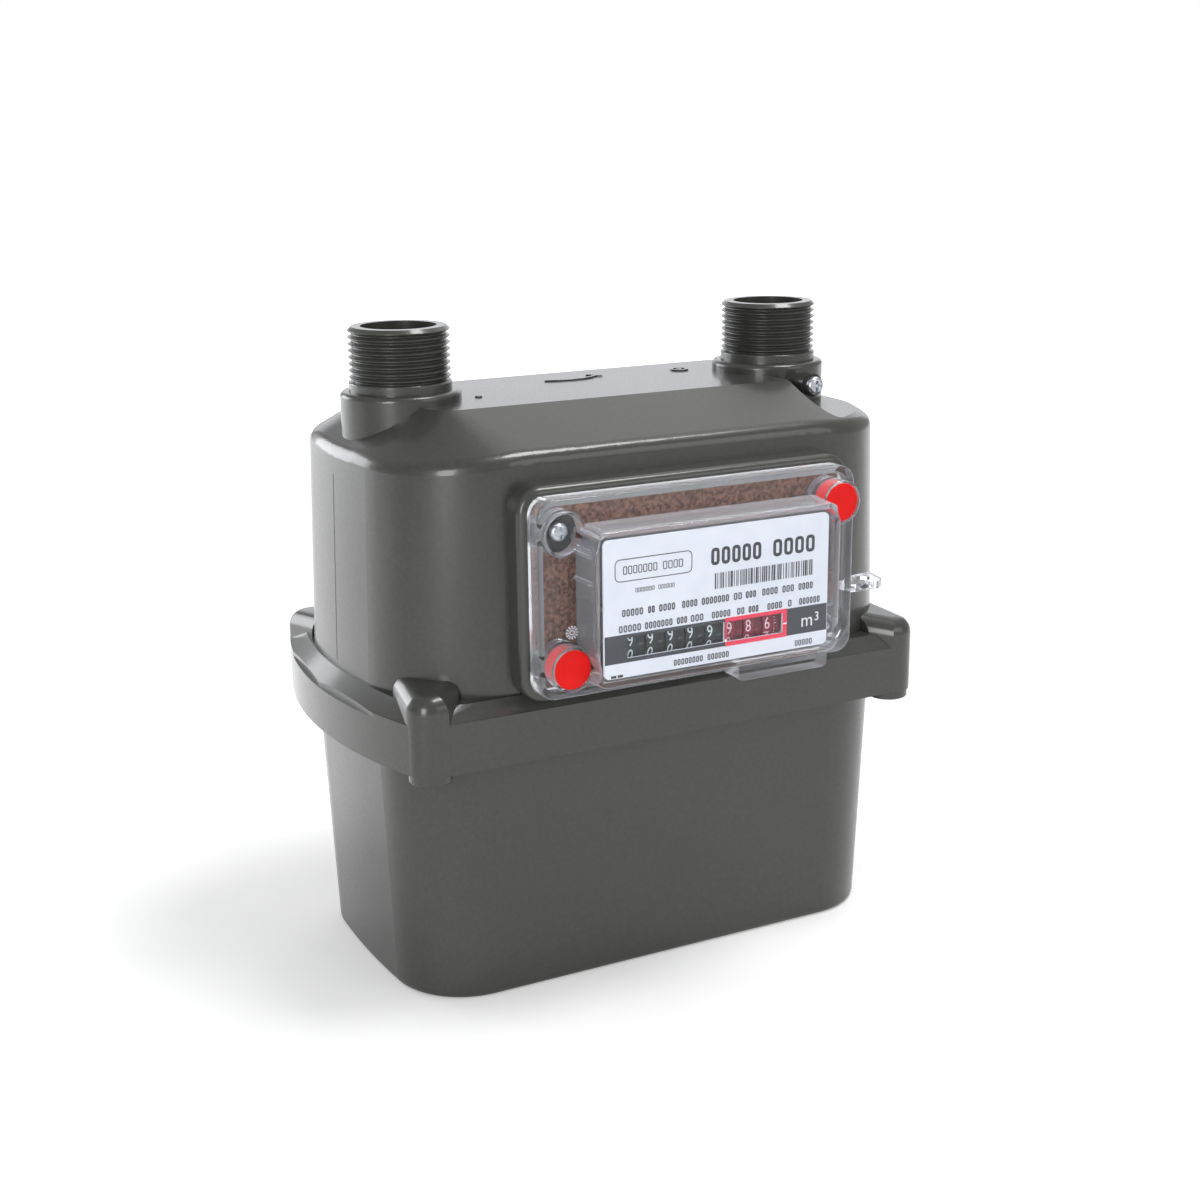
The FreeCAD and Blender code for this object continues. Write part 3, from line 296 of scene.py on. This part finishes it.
def clear_cover():
    """Clear polycarbonate: lamps light what is behind it, and seen along its walls it is painted whitish, a
    painted glow of light led inside the plastic together with some real haze.
    """
    finish = Finish("clear_cover", Transmission_Weight=1.0, IOR=1.34)
    finish.colour(finish.noise(25), (0.3, (0.955, 0.96, 0.98)), (0.7, (0.985, 0.99, 1.0)))
    finish.drive(finish.noise(6, 3), "Roughness", 0.005, 0.03)
    # Pale shader mixed in at grazing views: painted glow of light carried in the walls, partly real haze
    glow_and_haze = finish.node("ShaderNodeBsdfPrincipled")
    glow_and_haze.inputs["Base Color"].default_value = (0.78, 0.80, 0.86, 1)
    glow_and_haze.inputs["Roughness"].default_value = 0.25
    slant = finish.node("ShaderNodeLayerWeight")
    slant.inputs["Blend"].default_value = 0.30
    amount = finish.span(slant.outputs["Facing"], 0.12, 0.75, 0.0, GLOW_AND_HAZE_SHARE)
    body = finish.mix(amount, finish.shader.outputs["BSDF"], glow_and_haze.outputs["BSDF"])
    passing = finish.node("ShaderNodeBsdfTransparent")
    passing.inputs["Color"].default_value = (0.93, 0.93, 0.95, 1)
    path = finish.node("ShaderNodeLightPath")
    whole = finish.mix(path.outputs["Is Shadow Ray"], body, passing.outputs["BSDF"])
    finish.link(whole, finish.tree.nodes["Material Output"].inputs["Surface"])
    return finish.material


def drum_plastic(name, face, side):
    """Number drum: printed face on the left of each drum, darker carry ring on the right."""
    finish = Finish(name)
    low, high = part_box("number_drum_1")
    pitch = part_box("number_drum_2")[0].x - low.x
    split = finish.node("ShaderNodeSeparateXYZ")
    finish.link(finish.place, split.inputs["Vector"])
    shifted = finish.maths("SUBTRACT", split.outputs["X"], low.x)
    part = finish.maths("FRACT", finish.maths("DIVIDE", shifted, pitch), 0.0)
    share = FACE_SHARE * (high.x - low.x) / pitch
    finish.colour(part, (share - 0.02, face), (share + 0.02, side))
    finish.drive(finish.noise(2), "Roughness", 0.38, 0.55)
    finish.relief(finish.noise(0.5), 0.015)
    return finish.material


def ink(name, colour, roughness=0.5):
    """Printing ink with a slightly uneven lay."""
    finish = Finish(name)
    finish.colour(finish.noise(0.8, 3), (0.25, tuple(0.92 * c for c in colour)), (0.75, colour))
    finish.drive(finish.noise(0.5), "Roughness", roughness - 0.06, roughness + 0.06)
    return finish.material


FINISHES = {
    "case_paint": case_paint(),
    "black_rubber": rubber("black_rubber", (0.012, 0.012, 0.012), (0.024, 0.024, 0.025)),
    "zinc_steel": metal("zinc_steel", (0.50, 0.53, 0.57), (0.72, 0.75, 0.80), 0.22, 0.40),
    "clear_cover": clear_cover(),
    "cork_backing": cork_backing(),
    "red_plastic": moulding("red_plastic", (0.70, 0.0012, 0.0008), (0.78, 0.003, 0.0015), 0.34, 0.42,
                            specular=0.25),
    "white_dial": moulding("white_dial", (0.68, 0.71, 0.77), (0.72, 0.75, 0.81), 0.42, 0.52),
    "dark_plastic": moulding("dark_plastic", (0.030, 0.033, 0.040), (0.042, 0.046, 0.054), 0.45, 0.60),
    "steel_shaft": metal("steel_shaft", (0.42, 0.42, 0.44), (0.56, 0.56, 0.58), 0.22, 0.34),
    "white_gear": moulding("white_gear", (0.72, 0.71, 0.66), (0.82, 0.81, 0.77), 0.38, 0.50),
    "brass_bush": metal("brass_bush", (0.60, 0.42, 0.16), (0.76, 0.56, 0.26), 0.24, 0.36),
    "chamber_plastic": moulding("chamber_plastic", (0.10, 0.11, 0.12), (0.15, 0.16, 0.17), 0.50, 0.65),
    "diaphragm_rubber": rubber("diaphragm_rubber", (0.05, 0.05, 0.055), (0.09, 0.09, 0.10)),
    "black_drum": drum_plastic("black_drum", (0.014, 0.024, 0.028), (0.006, 0.010, 0.013)),
    "red_drum": drum_plastic("red_drum", (0.22, 0.012, 0.035), (0.12, 0.006, 0.018)),
}


# ---- mesh helpers ----------------------------------------------------------------------------
def new_piece(name, mesh, material, body=None):
    mesh.name = name
    mesh.materials.clear()
    mesh.materials.append(material)
    piece = bpy.data.objects.new(name, mesh)
    bpy.context.scene.collection.objects.link(piece)
    if body:
        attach(piece, body)
    return piece


def box_mesh(low, high):
    bm = bmesh.new()
    add_box(bm, low, high)
    return finished(bm)


def finished(bm, weld=True):
    if weld:
        bmesh.ops.remove_doubles(bm, verts=bm.verts, dist=1e-7)
    bmesh.ops.recalc_face_normals(bm, faces=bm.faces)
    mesh = bpy.data.meshes.new("mesh")
    bm.to_mesh(mesh)
    bm.free()
    return mesh


def add_box(bm, low, high):
    add_prism(bm, [Vector((low[0], low[1], low[2])), Vector((high[0], low[1], low[2])),
                   Vector((high[0], low[1], high[2])), Vector((low[0], low[1], high[2]))],
              BACK * (high[1] - low[1]))


def add_prism(bm, outline, push):
    """Closed prism over a flat outline, pushed along one vector."""
    near = [bm.verts.new(p) for p in outline]
    far = [bm.verts.new(p + push) for p in outline]
    count = len(outline)
    bm.faces.new(near)
    bm.faces.new(far[::-1])
    for i in range(count):
        j = (i + 1) % count
        bm.faces.new((near[i], far[i], far[j], near[j]))


def add_frame(bm, outer, inner, push):
    """Closed ring prism between two outlines with the same number of points."""
    loops = [[bm.verts.new(p) for p in points] for points in
             (outer, inner, [p + push for p in outer], [p + push for p in inner])]
    count = len(outer)
    for i in range(count):
        j = (i + 1) % count
        for a, b in ((0, 1), (1, 3), (3, 2), (2, 0)):
            bm.faces.new((loops[a][i], loops[a][j], loops[b][j], loops[b][i]))


def rounded_points(low_u, low_v, high_u, high_v, radius, steps=6):
    """Corner points of a rounded rectangle, in its own plane."""
    points = []
    corners = ((high_u - radius, low_v + radius, -90), (high_u - radius, high_v - radius, 0),
               (low_u + radius, high_v - radius, 90), (low_u + radius, low_v + radius, 180))
    for centre_u, centre_v, start in corners:
        for step in range(steps + 1):
            angle = math.radians(start + 90 * step / steps)
            points.append((centre_u + radius * math.cos(angle), centre_v + radius * math.sin(angle)))
    return points


CAPITAL_SHARE = 0.73       # capital height of the built-in font over its size


def glyph(text, height, squeeze, thickness):
    """Mesh of one character standing in X and Y, centred, its capital height given."""
    curve = bpy.data.curves.new("glyph", "FONT")
    curve.body = text
    curve.align_x = "CENTER"
    curve.extrude = thickness / 2 / MM
    curve.size = height / MM / CAPITAL_SHARE
    curve.resolution_u = 4
    holder = bpy.data.objects.new("glyph", curve)
    bpy.context.scene.collection.objects.link(holder)
    bpy.context.view_layer.update()
    graph = bpy.context.evaluated_depsgraph_get()
    mesh = bpy.data.meshes.new_from_object(holder.evaluated_get(graph))
    bpy.data.objects.remove(holder)
    bpy.data.curves.remove(curve)
    low_y = min(v.co.y for v in mesh.vertices)
    high_y = max(v.co.y for v in mesh.vertices)
    mesh.transform(Matrix.Translation((0, -(low_y + high_y) / 2, 0)))
    mesh.transform(Matrix.Diagonal((MM * squeeze, MM, MM, 1)))
    return mesh



# ---- number drums ----------------------------------------------------------------------------
DIGIT_HEIGHT = 4.35 * MM
DIGIT_SQUEEZE = 0.80
DIGIT_PROUD = 0.05 * MM
DIGIT_OFFSET = -1.75 * MM      # digits sit left of each drum's middle
RED_FROM = 5                   # drums after this many are red
READING = ((9, 13.8), (9, 12.2), (9, 12.2), (9, 10.1), (9, 4.9), (9, 4.4), (8, 3.0), (6, 2.5))


def wrap_on_drum(bm, source, centre, radius, angle):
    """Copies a glyph round a drum whose axis runs along X; angle 0 faces the front."""
    part = bmesh.new()
    part.from_mesh(source)
    bmesh.ops.remove_doubles(part, verts=part.verts, dist=1e-7)
    height = max(v.co.y for v in part.verts)
    slices = 14
    for step in range(1, slices):
        level = height * (2 * step / slices - 1)
        geometry = part.verts[:] + part.edges[:] + part.faces[:]
        bmesh.ops.bisect_plane(part, geom=geometry, plane_co=(0, level, 0), plane_no=(0, 1, 0))
    made = {}
    for vert in part.verts:
        turn = angle + vert.co.y / radius
        reach = radius + vert.co.z + DIGIT_PROUD / 4
        made[vert] = bm.verts.new((centre.x + DIGIT_OFFSET + vert.co.x, centre.y - reach * math.cos(turn),
                                   centre.z + reach * math.sin(turn)))
    for face in part.faces:
        bm.faces.new([made[v] for v in face.verts])
    part.free()


def add_notches(bm, centre, radius, width, first_angle):
    """Small raised carry marks between the digits on the right of a drum."""
    for step in range(10):
        angle = first_angle + math.radians(36 * step)
        out = Vector((0, -math.cos(angle), math.sin(angle)))
        along = Vector((0, math.sin(angle), math.cos(angle)))
        base = Vector((centre.x + width * 0.16, centre.y, centre.z)) + out * (radius - 0.05 * MM)
        outline = [base + RIGHT * u * MM + along * v * MM
                   for u, v in ((0, -0.45), (1.1, -0.45), (1.1, -0.1), (1.7, -0.1), (1.7, 0.45), (0, 0.45))]
        add_prism(bm, outline, out * 0.12 * MM)


def make_numerals():
    digits = [glyph(str(d), DIGIT_HEIGHT, DIGIT_SQUEEZE, DIGIT_PROUD * 1.5) for d in range(10)]
    pale = ink("numeral_ink", (0.62, 0.70, 0.72))
    pink = ink("numeral_ink_red", (0.80, 0.60, 0.66))
    notch_dark = ink("carry_mark", (0.055, 0.075, 0.085))
    notch_red = ink("carry_mark_red", (0.22, 0.02, 0.04))
    for index, (shown, lead) in enumerate(READING):
        body = "number_drum_%d" % (index + 1)
        low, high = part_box(body)
        centre = (low + high) / 2
        radius = (high.z - low.z) / 2
        bm = bmesh.new()
        for digit, mesh in enumerate(digits):
            wrap_on_drum(bm, mesh, centre, radius, math.radians(lead - 36 * (digit - shown)))
        red = index >= RED_FROM
        new_piece("numerals_%d" % (index + 1), finished(bm, False), pink if red else pale, body)
        marks = bmesh.new()
        add_notches(marks, centre, radius, high.x - low.x, math.radians(lead - 12))
        new_piece("carry_marks_%d" % (index + 1), finished(marks), notch_red if red else notch_dark, body)
    make_graduations(pink)
    for mesh in digits:
        bpy.data.meshes.remove(mesh)


def make_graduations(material):
    """Fine scale on the right-hand rim of the fastest drum."""
    body = "number_drum_%d" % len(READING)
    low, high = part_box(body)
    centre = (low + high) / 2
    radius = (high.z - low.z) / 2
    bm = bmesh.new()
    for step in range(50):
        angle = math.radians(7.2 * step)
        out = Vector((0, -math.cos(angle), math.sin(angle)))
        along = Vector((0, math.sin(angle), math.cos(angle)))
        length = 1.0 if step % 5 == 0 else 0.6
        base = Vector((high.x - 2.6 * MM, centre.y, centre.z)) + out * (radius - 0.02 * MM)
        outline = [base + RIGHT * u * MM + along * v * MM
                   for u, v in ((0, -0.11), (length, -0.11), (length, 0.11), (0, 0.11))]
        add_prism(bm, outline, out * 0.06 * MM)
    new_piece("fine_scale", finished(bm), material, body)



# ---- printed dial ----------------------------------------------------------------------------
INK_THICKNESS = 0.06 * MM
BAND = (0.15, 5.1, 87.8, 14.8)         # millimetres from the lower left corner of the plate
BLACK_SIGHT = (8.6, 6.5, 46.1, 13.6)
RED_SIGHT = (47.1, 6.5, 69.6, 13.6)
RED_FRAME = (46.45, 4.95, 71.3, 14.95)
CELL_PITCH = 0.66                      # width of a character's cell over its height


def dial_point(u, v):
    """Point on the face of the dial plate, u and v millimetres from its lower left corner."""
    low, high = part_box("dial_plate")
    return Vector((low.x + u * MM, low.y + 0.01 * MM, low.z + v * MM))


def print_patch(bm, u0, v0, u1, v1, radius=0.0):
    if radius:
        points = rounded_points(u0, v0, u1, v1, radius, 4)
    else:
        points = [(u0, v0), (u1, v0), (u1, v1), (u0, v1)]
    add_prism(bm, [dial_point(u, v) for u, v in points], -BACK * INK_THICKNESS)


def print_cell(bm, u0, v0, u1, v1, stroke):
    """Hollow box that stands for one character."""
    outer = [dial_point(u, v) for u, v in rounded_points(u0, v0, u1, v1, stroke * 1.1, 2)]
    inner = [dial_point(u, v) for u, v in rounded_points(u0 + stroke, v0 + stroke, u1 - stroke, v1 - stroke,
                                                         stroke * 0.3, 2)]
    add_frame(bm, outer, inner, -BACK * INK_THICKNESS)



def print_line(bm, u, v, words, height, weight=0.17):
    """Row of hollow boxes in the rhythm of a printed line; it spells nothing."""
    for start, end in words:
        count = max(1, round((end - start) / (height * CELL_PITCH)))
        pitch = (end - start) / count
        for n in range(count):
            left = u + start + n * pitch
            print_cell(bm, left, v, left + pitch * 0.80, v + height, height * weight)


def print_bars(bm, u0, v0, u1, v1, seed):
    """Plain stripes of uneven width; they hold no code."""
    draw = random.Random(seed)
    at = u0
    while at < u1 - 0.3:
        width = draw.choice((0.26, 0.26, 0.5, 0.75))
        print_patch(bm, at, v0, min(at + width, u1), v1)
        at += width + draw.choice((0.28, 0.28, 0.5, 0.7))


LINE_ONE = ((0, 8.2), (9.8, 12.6), (14.0, 20.4), (22.8, 29.0), (30.4, 41.4), (43.0, 46.6), (47.8, 52.2),
            (54.4, 61.0), (62.6, 67.6), (69.2, 75.4))
LINE_TWO = ((0, 8.6), (9.8, 20.6), (22.0, 26.2), (27.4, 32.6), (35.6, 43.2), (45.6, 48.8), (50.2, 54.4),
            (57.8, 64.0), (66.2, 68.0), (70.8, 79.6))


def make_dark_print(dark, grey):
    bold = bmesh.new()
    print_line(bold, 40.7, 34.0, ((0, 20.6), (24.6, 42.4)), 6.0, 0.19)
    print_bars(bold, 42.2, 25.7, 81.8, 31.2, 5)
    for u in (2.4, 4.9):
        print_patch(bold, u, 0.25, u + 2.0, 1.15)
    new_piece("dial_print_bold", finished(bold, False), dark, "casing")
    fine = bmesh.new()
    outer = [dial_point(u, v) for u, v in rounded_points(4.1, 32.7, 33.4, 40.4, 1.9)]
    inner = [dial_point(u, v) for u, v in rounded_points(4.42, 33.02, 33.08, 40.08, 1.58)]
    add_frame(fine, outer, inner, -BACK * INK_THICKNESS)
    print_line(fine, 7.2, 35.1, ((0, 13.2), (15.0, 23.0)), 2.8, 0.12)
    print_line(fine, 11.8, 28.6, ((0, 7.4), (8.6, 15.0)), 1.5, 0.13)
    print_line(fine, 6.7, 20.8, LINE_ONE, 2.5, 0.19)
    print_line(fine, 5.5, 15.5, LINE_TWO, 2.4, 0.19)
    print_line(fine, 26.3, 1.1, ((0, 11.6), (13.2, 21.9)), 2.2, 0.19)
    print_line(fine, 74.8, 0.85, ((0, 7.4),), 2.1, 0.18)
    new_piece("dial_print_fine", finished(fine, False), grey, "casing")


def make_band(dark):
    bm = bmesh.new()
    left, low, right, high = BAND
    print_patch(bm, left, low, BLACK_SIGHT[0], high)
    print_patch(bm, BLACK_SIGHT[0], low, RED_FRAME[0], BLACK_SIGHT[1])
    print_patch(bm, BLACK_SIGHT[0], BLACK_SIGHT[3], RED_FRAME[0], high)
    print_patch(bm, BLACK_SIGHT[2], BLACK_SIGHT[1], RED_FRAME[0], BLACK_SIGHT[3])
    print_patch(bm, RED_FRAME[2], low, right, high)
    new_piece("dial_band", finished(bm), dark, "casing")


def make_red_frame(red):
    bm = bmesh.new()

    def corners(area):
        u0, v0, u1, v1 = area
        return [dial_point(u, v) for u, v in ((u0, v0), (u1, v0), (u1, v1), (u0, v1))]
    add_frame(bm, corners(RED_FRAME), corners(RED_SIGHT), -BACK * INK_THICKNESS * 1.2)
    new_piece("dial_red_frame", finished(bm), red, "casing")


def stand_up(mesh, place):
    """Turns a glyph from lying in X and Y to standing in X and Z at a point."""
    mesh.transform(Matrix.Translation(place) @ Matrix.Rotation(math.radians(90), 4, "X"))
    return mesh


def make_unit_mark(white):
    """Cubic metre sign on the band, with the decimal point and the reading tick."""
    bm = bmesh.new()
    for text, u, v, height, squeeze in (("m", 79.6, 9.05, 5.0, 0.98), ("3", 83.7, 10.6, 3.3, 0.95)):
        mesh = stand_up(glyph(text, height * MM, squeeze, INK_THICKNESS), dial_point(u, v) - BACK * 0.07 * MM)
        bm.from_mesh(mesh)
        bpy.data.meshes.remove(mesh)
    lift = -BACK * INK_THICKNESS * 1.8
    for u0, v0, u1, v1 in ((69.8, 9.5, 71.3, 9.95), (46.2, 6.6, 47.1, 7.5)):
        outline = [dial_point(u, v) for u, v in ((u0, v0), (u1, v0), (u1, v1), (u0, v1))]
        add_prism(bm, outline, lift)
    new_piece("dial_unit_mark", finished(bm, False), white, "casing")


def make_dial():
    band = ink("band_ink", (0.040, 0.046, 0.056))
    make_dark_print(ink("dark_ink", (0.030, 0.033, 0.040)), ink("grey_ink", (0.060, 0.064, 0.075)))
    make_band(band)
    make_red_frame(ink("red_ink", (0.82, 0.035, 0.085)))
    make_unit_mark(ink("white_ink", (0.86, 0.87, 0.88)))


# ---- marks cast and moulded into the shells ---------------------------------------------------
MARK_ROOT = 0.2 * MM       # how far a cast mark starts below the surface
MARK_HEIGHT = 0.75 * MM
RING_MARKS = ((44.0, 12.5, 3.6, 1.3), (44.0, 12.5, 1.2, 1.15), (-50.5, -9.0, 1.3, 1.2))
PARTING_LOW = 0.1165       # ends of the witness line on each end of the case
PARTING_HIGH = 0.184
DATE_WHEEL_PLACE = Vector((11.8, 13.0, 24.0))  # on the cover's flange, from its lowest corner


def circle(centre, radius, second_axis, steps):
    """Points round a centre, in the plane of RIGHT and a second axis."""
    turns = [math.tau * n / steps for n in range(steps)]
    return [centre + (RIGHT * math.cos(turn) + second_axis * math.sin(turn)) * radius for turn in turns]


def make_flow_arrow():
    """Raised flow arrow cast on the flat top, pointing to the outlet."""
    top = surface_height(0.0, 0.012)
    shaft = [(-14.0, 12.4), (-9.5, 10.9), (-4.0, 10.1), (1.0, 10.4), (5.0, 12.0), (8.4, 14.6)]
    half = 0.75
    bm = bmesh.new()
    left, right = [], []
    for i, (x, y) in enumerate(shaft):
        x0, y0 = shaft[max(i - 1, 0)]
        x1, y1 = shaft[min(i + 1, len(shaft) - 1)]
        run = math.hypot(x1 - x0, y1 - y0)
        nx, ny = -(y1 - y0) / run * half, (x1 - x0) / run * half
        left.append((x + nx, y + ny))
        right.append((x - nx, y - ny))
    head = [(10.6, 12.7), (12.2, 19.4), (5.9, 17.6)]
    outline = right + head + left[::-1]
    points = [Vector((x * MM, y * MM, top - MARK_ROOT)) for x, y in outline]
    add_prism(bm, points[::-1], UP * MARK_HEIGHT)
    piece = new_piece("flow_arrow", finished(bm), FINISHES["case_paint"], "casing")
    soften(piece, 0.18 * MM)


def make_outlet_mark():
    """Raised ring beside the outlet, and a small dot beside the inlet."""
    top = surface_height(0.0, 0.012)
    bm = bmesh.new()
    for centre_x, centre_y, radius, width in RING_MARKS:
        centre = Vector((centre_x * MM, centre_y * MM, top - MARK_ROOT))
        outer, inner = (circle(centre, reach * MM, BACK, 28) for reach in (radius, radius - width))
        add_frame(bm, outer, inner, UP * MARK_HEIGHT)
    piece = new_piece("outlet_mark", finished(bm), FINISHES["case_paint"], "casing")
    soften(piece, 0.15 * MM)


def soften(piece, width, segments=3):
    bevel = piece.modifiers.new("edges", "BEVEL")
    bevel.width = width
    bevel.segments = segments
    bevel.limit_method = "ANGLE"


def upper_surface():
    mesh = frame["nodes"]["upper_case"].data
    return BVHTree.FromPolygons([v.co for v in mesh.vertices], [p.vertices for p in mesh.polygons])


def surface_height(x, y):
    """Height of the casing under a point above it."""
    hit = CASE_SURFACE.ray_cast(Vector((x, y, 1.0)), -UP)
    return hit[0].z


CASE_SURFACE = upper_surface()


def make_parting_lines():
    """Fine witness line of the die up the middle of each end."""
    low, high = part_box("upper_case")
    for name, side in (("parting_line_inlet", -1), ("parting_line_outlet", 1)):
        points = []
        steps = 40
        for n in range(steps + 1):
            z = PARTING_LOW + (PARTING_HIGH - PARTING_LOW) * n / steps
            hit = CASE_SURFACE.ray_cast(Vector((side * 0.3, 0.0, z)), -RIGHT * side)
            points.append(hit[0])
        bm = bmesh.new()
        add_ridge(bm, points, RIGHT * side, 0.22 * MM, 0.10 * MM)
        new_piece(name, finished(bm), FINISHES["case_paint"], "casing")


def add_ridge(bm, points, out, half_width, rise):
    """Low closed ridge of triangular section along points on a surface."""
    rows = []
    for point in points:
        foot = point - out * rise
        corners = (foot - BACK * half_width, point + out * rise, foot + BACK * half_width)
        rows.append([bm.verts.new(c) for c in corners])
    for low, high in zip(rows, rows[1:]):
        for i in range(3):
            j = (i + 1) % 3
            bm.faces.new((low[i], low[j], high[j], high[i]))
    bm.faces.new(rows[0])
    bm.faces.new(rows[-1][::-1])


def make_date_wheel():
    """Moulder's date wheel on the clear cover: short rays round a ring, with no characters."""
    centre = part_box("index_cover")[0] + DATE_WHEEL_PLACE * MM
    bm = bmesh.new()
    for n in range(12):
        angle = math.tau * n / 12
        ray = Vector((math.cos(angle), 0, math.sin(angle)))
        across = Vector((-math.sin(angle), 0, math.cos(angle)))
        outline = [centre + ray * r * MM + across * w * MM
                   for r, w in ((1.25, -0.16), (2.35, -0.30), (2.35, 0.30), (1.25, 0.16))]
        add_prism(bm, outline, -BACK * 0.3 * MM)
    outer, inner = (circle(centre, reach * MM, UP, 24) for reach in (0.95, 0.55))
    add_frame(bm, outer, inner, -BACK * 0.3 * MM)
    frosted = moulding("frosted_relief", (0.55, 0.56, 0.60), (0.70, 0.71, 0.75), 0.35, 0.5)
    new_piece("cover_date_wheel", finished(bm), frosted, "casing")


# ---- flexible diaphragms ----------------------------------------------------------------------
LIP = 5.0 * MM             # part of the membrane that lies on the plate
CLOTH = 0.8 * MM
BEAD_DEPTH = 4.6 * MM      # how far the rolled bead hangs out at rest
RIB_DEPTH = 0.25 * MM
BEAD_STEPS = 22
PLATE_HALF_H = 29.0 * MM


def rectangle_loop(half_w, half_h, radius, middle_z, y):
    points = rounded_points(-half_w, -half_h, half_w, half_h, radius, 10)
    return [Vector((u, y, middle_z + v)) for u, v in points]


def membrane_sections(side, out):
    """Rounded rectangles from the plate out to the rim, each with its share of the plate's motion."""
    low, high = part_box(side + "_diaphragm")
    plate_low, plate_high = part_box(side + "_diaphragm_plate")
    rim_y = high.y - CLOTH / 2 if out < 0 else low.y + CLOTH / 2
    face_y = plate_low.y - CLOTH / 2 if out < 0 else plate_high.y + CLOTH / 2
    inner = (plate_high.x - LIP, PLATE_HALF_H - LIP, 5 * MM, face_y)
    plate = (plate_high.x + 1 * MM, PLATE_HALF_H + 1 * MM, 10.4 * MM, face_y)
    rim = (high.x - 5 * MM, (high.z - low.z) / 2 - 5 * MM, 11 * MM, rim_y)
    outer = (high.x, (high.z - low.z) / 2, 6 * MM, rim_y)
    sections = [(inner, 1.0), (plate, 1.0)]
    for n in range(1, BEAD_STEPS):
        share = n / BEAD_STEPS
        section = [a + (b - a) * share for a, b in zip(plate, rim)]
        ripple = RIB_DEPTH * math.cos(math.tau * 5 * share)
        section[3] += out * (BEAD_DEPTH * math.sin(math.pi * share) ** 2 + ripple - RIB_DEPTH)
        sections.append((section, 1 - share * share * (3 - 2 * share)))
    return sections + [(rim, 0.0), (outer, 0.0)]


def make_diaphragm(side, out):
    """Rolled membrane between the chamber's rim, which clamps it, and the plate, built at rest and not tied
    to the plate's motion.
    """
    low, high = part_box(side + "_diaphragm")
    middle_z = (low.z + high.z) / 2
    sections = membrane_sections(side, out)
    bm = bmesh.new()
    skins = []
    weights = []
    for offset in (-CLOTH / 2, CLOTH / 2):
        skin = []
        for (half_w, half_h, radius, y), weight in sections:
            loop = rectangle_loop(half_w, half_h, radius, middle_z, y + offset)
            skin.append([bm.verts.new(point) for point in loop])
            weights += [weight] * len(loop)
        skins.append(skin)
    closed = skins[0] + skins[1][::-1]     # out along one skin and back along the other
    for first, second in zip(closed, closed[1:] + closed[:1]):
        for i in range(len(first)):
            j = (i + 1) % len(first)
            bm.faces.new((first[i], first[j], second[j], second[i]))
    piece = new_piece(side + "_rolled_membrane", finished(bm, False), FINISHES["diaphragm_rubber"])
    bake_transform(piece)
    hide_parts(side + "_diaphragm")
    for polygon in piece.data.polygons:
        polygon.use_smooth = True


# ---- finishes for the designed nodes ----------------------------------------------------------
def dress_nodes():
    for subpart in frame["record"]["subparts"]:
        node = frame["nodes"][subpart["node"]]
        material = FINISHES[subpart["material_slot"]]
        if not node.material_slots:
            node.data.materials.append(material)
        for slot in node.material_slots:
            slot.material = material


make_camera()
make_studio()
dress_nodes()
make_numerals()
make_dial()
make_flow_arrow()
make_outlet_mark()
make_parting_lines()
make_date_wheel()
make_diaphragm("front", -1)
make_diaphragm("rear", 1)
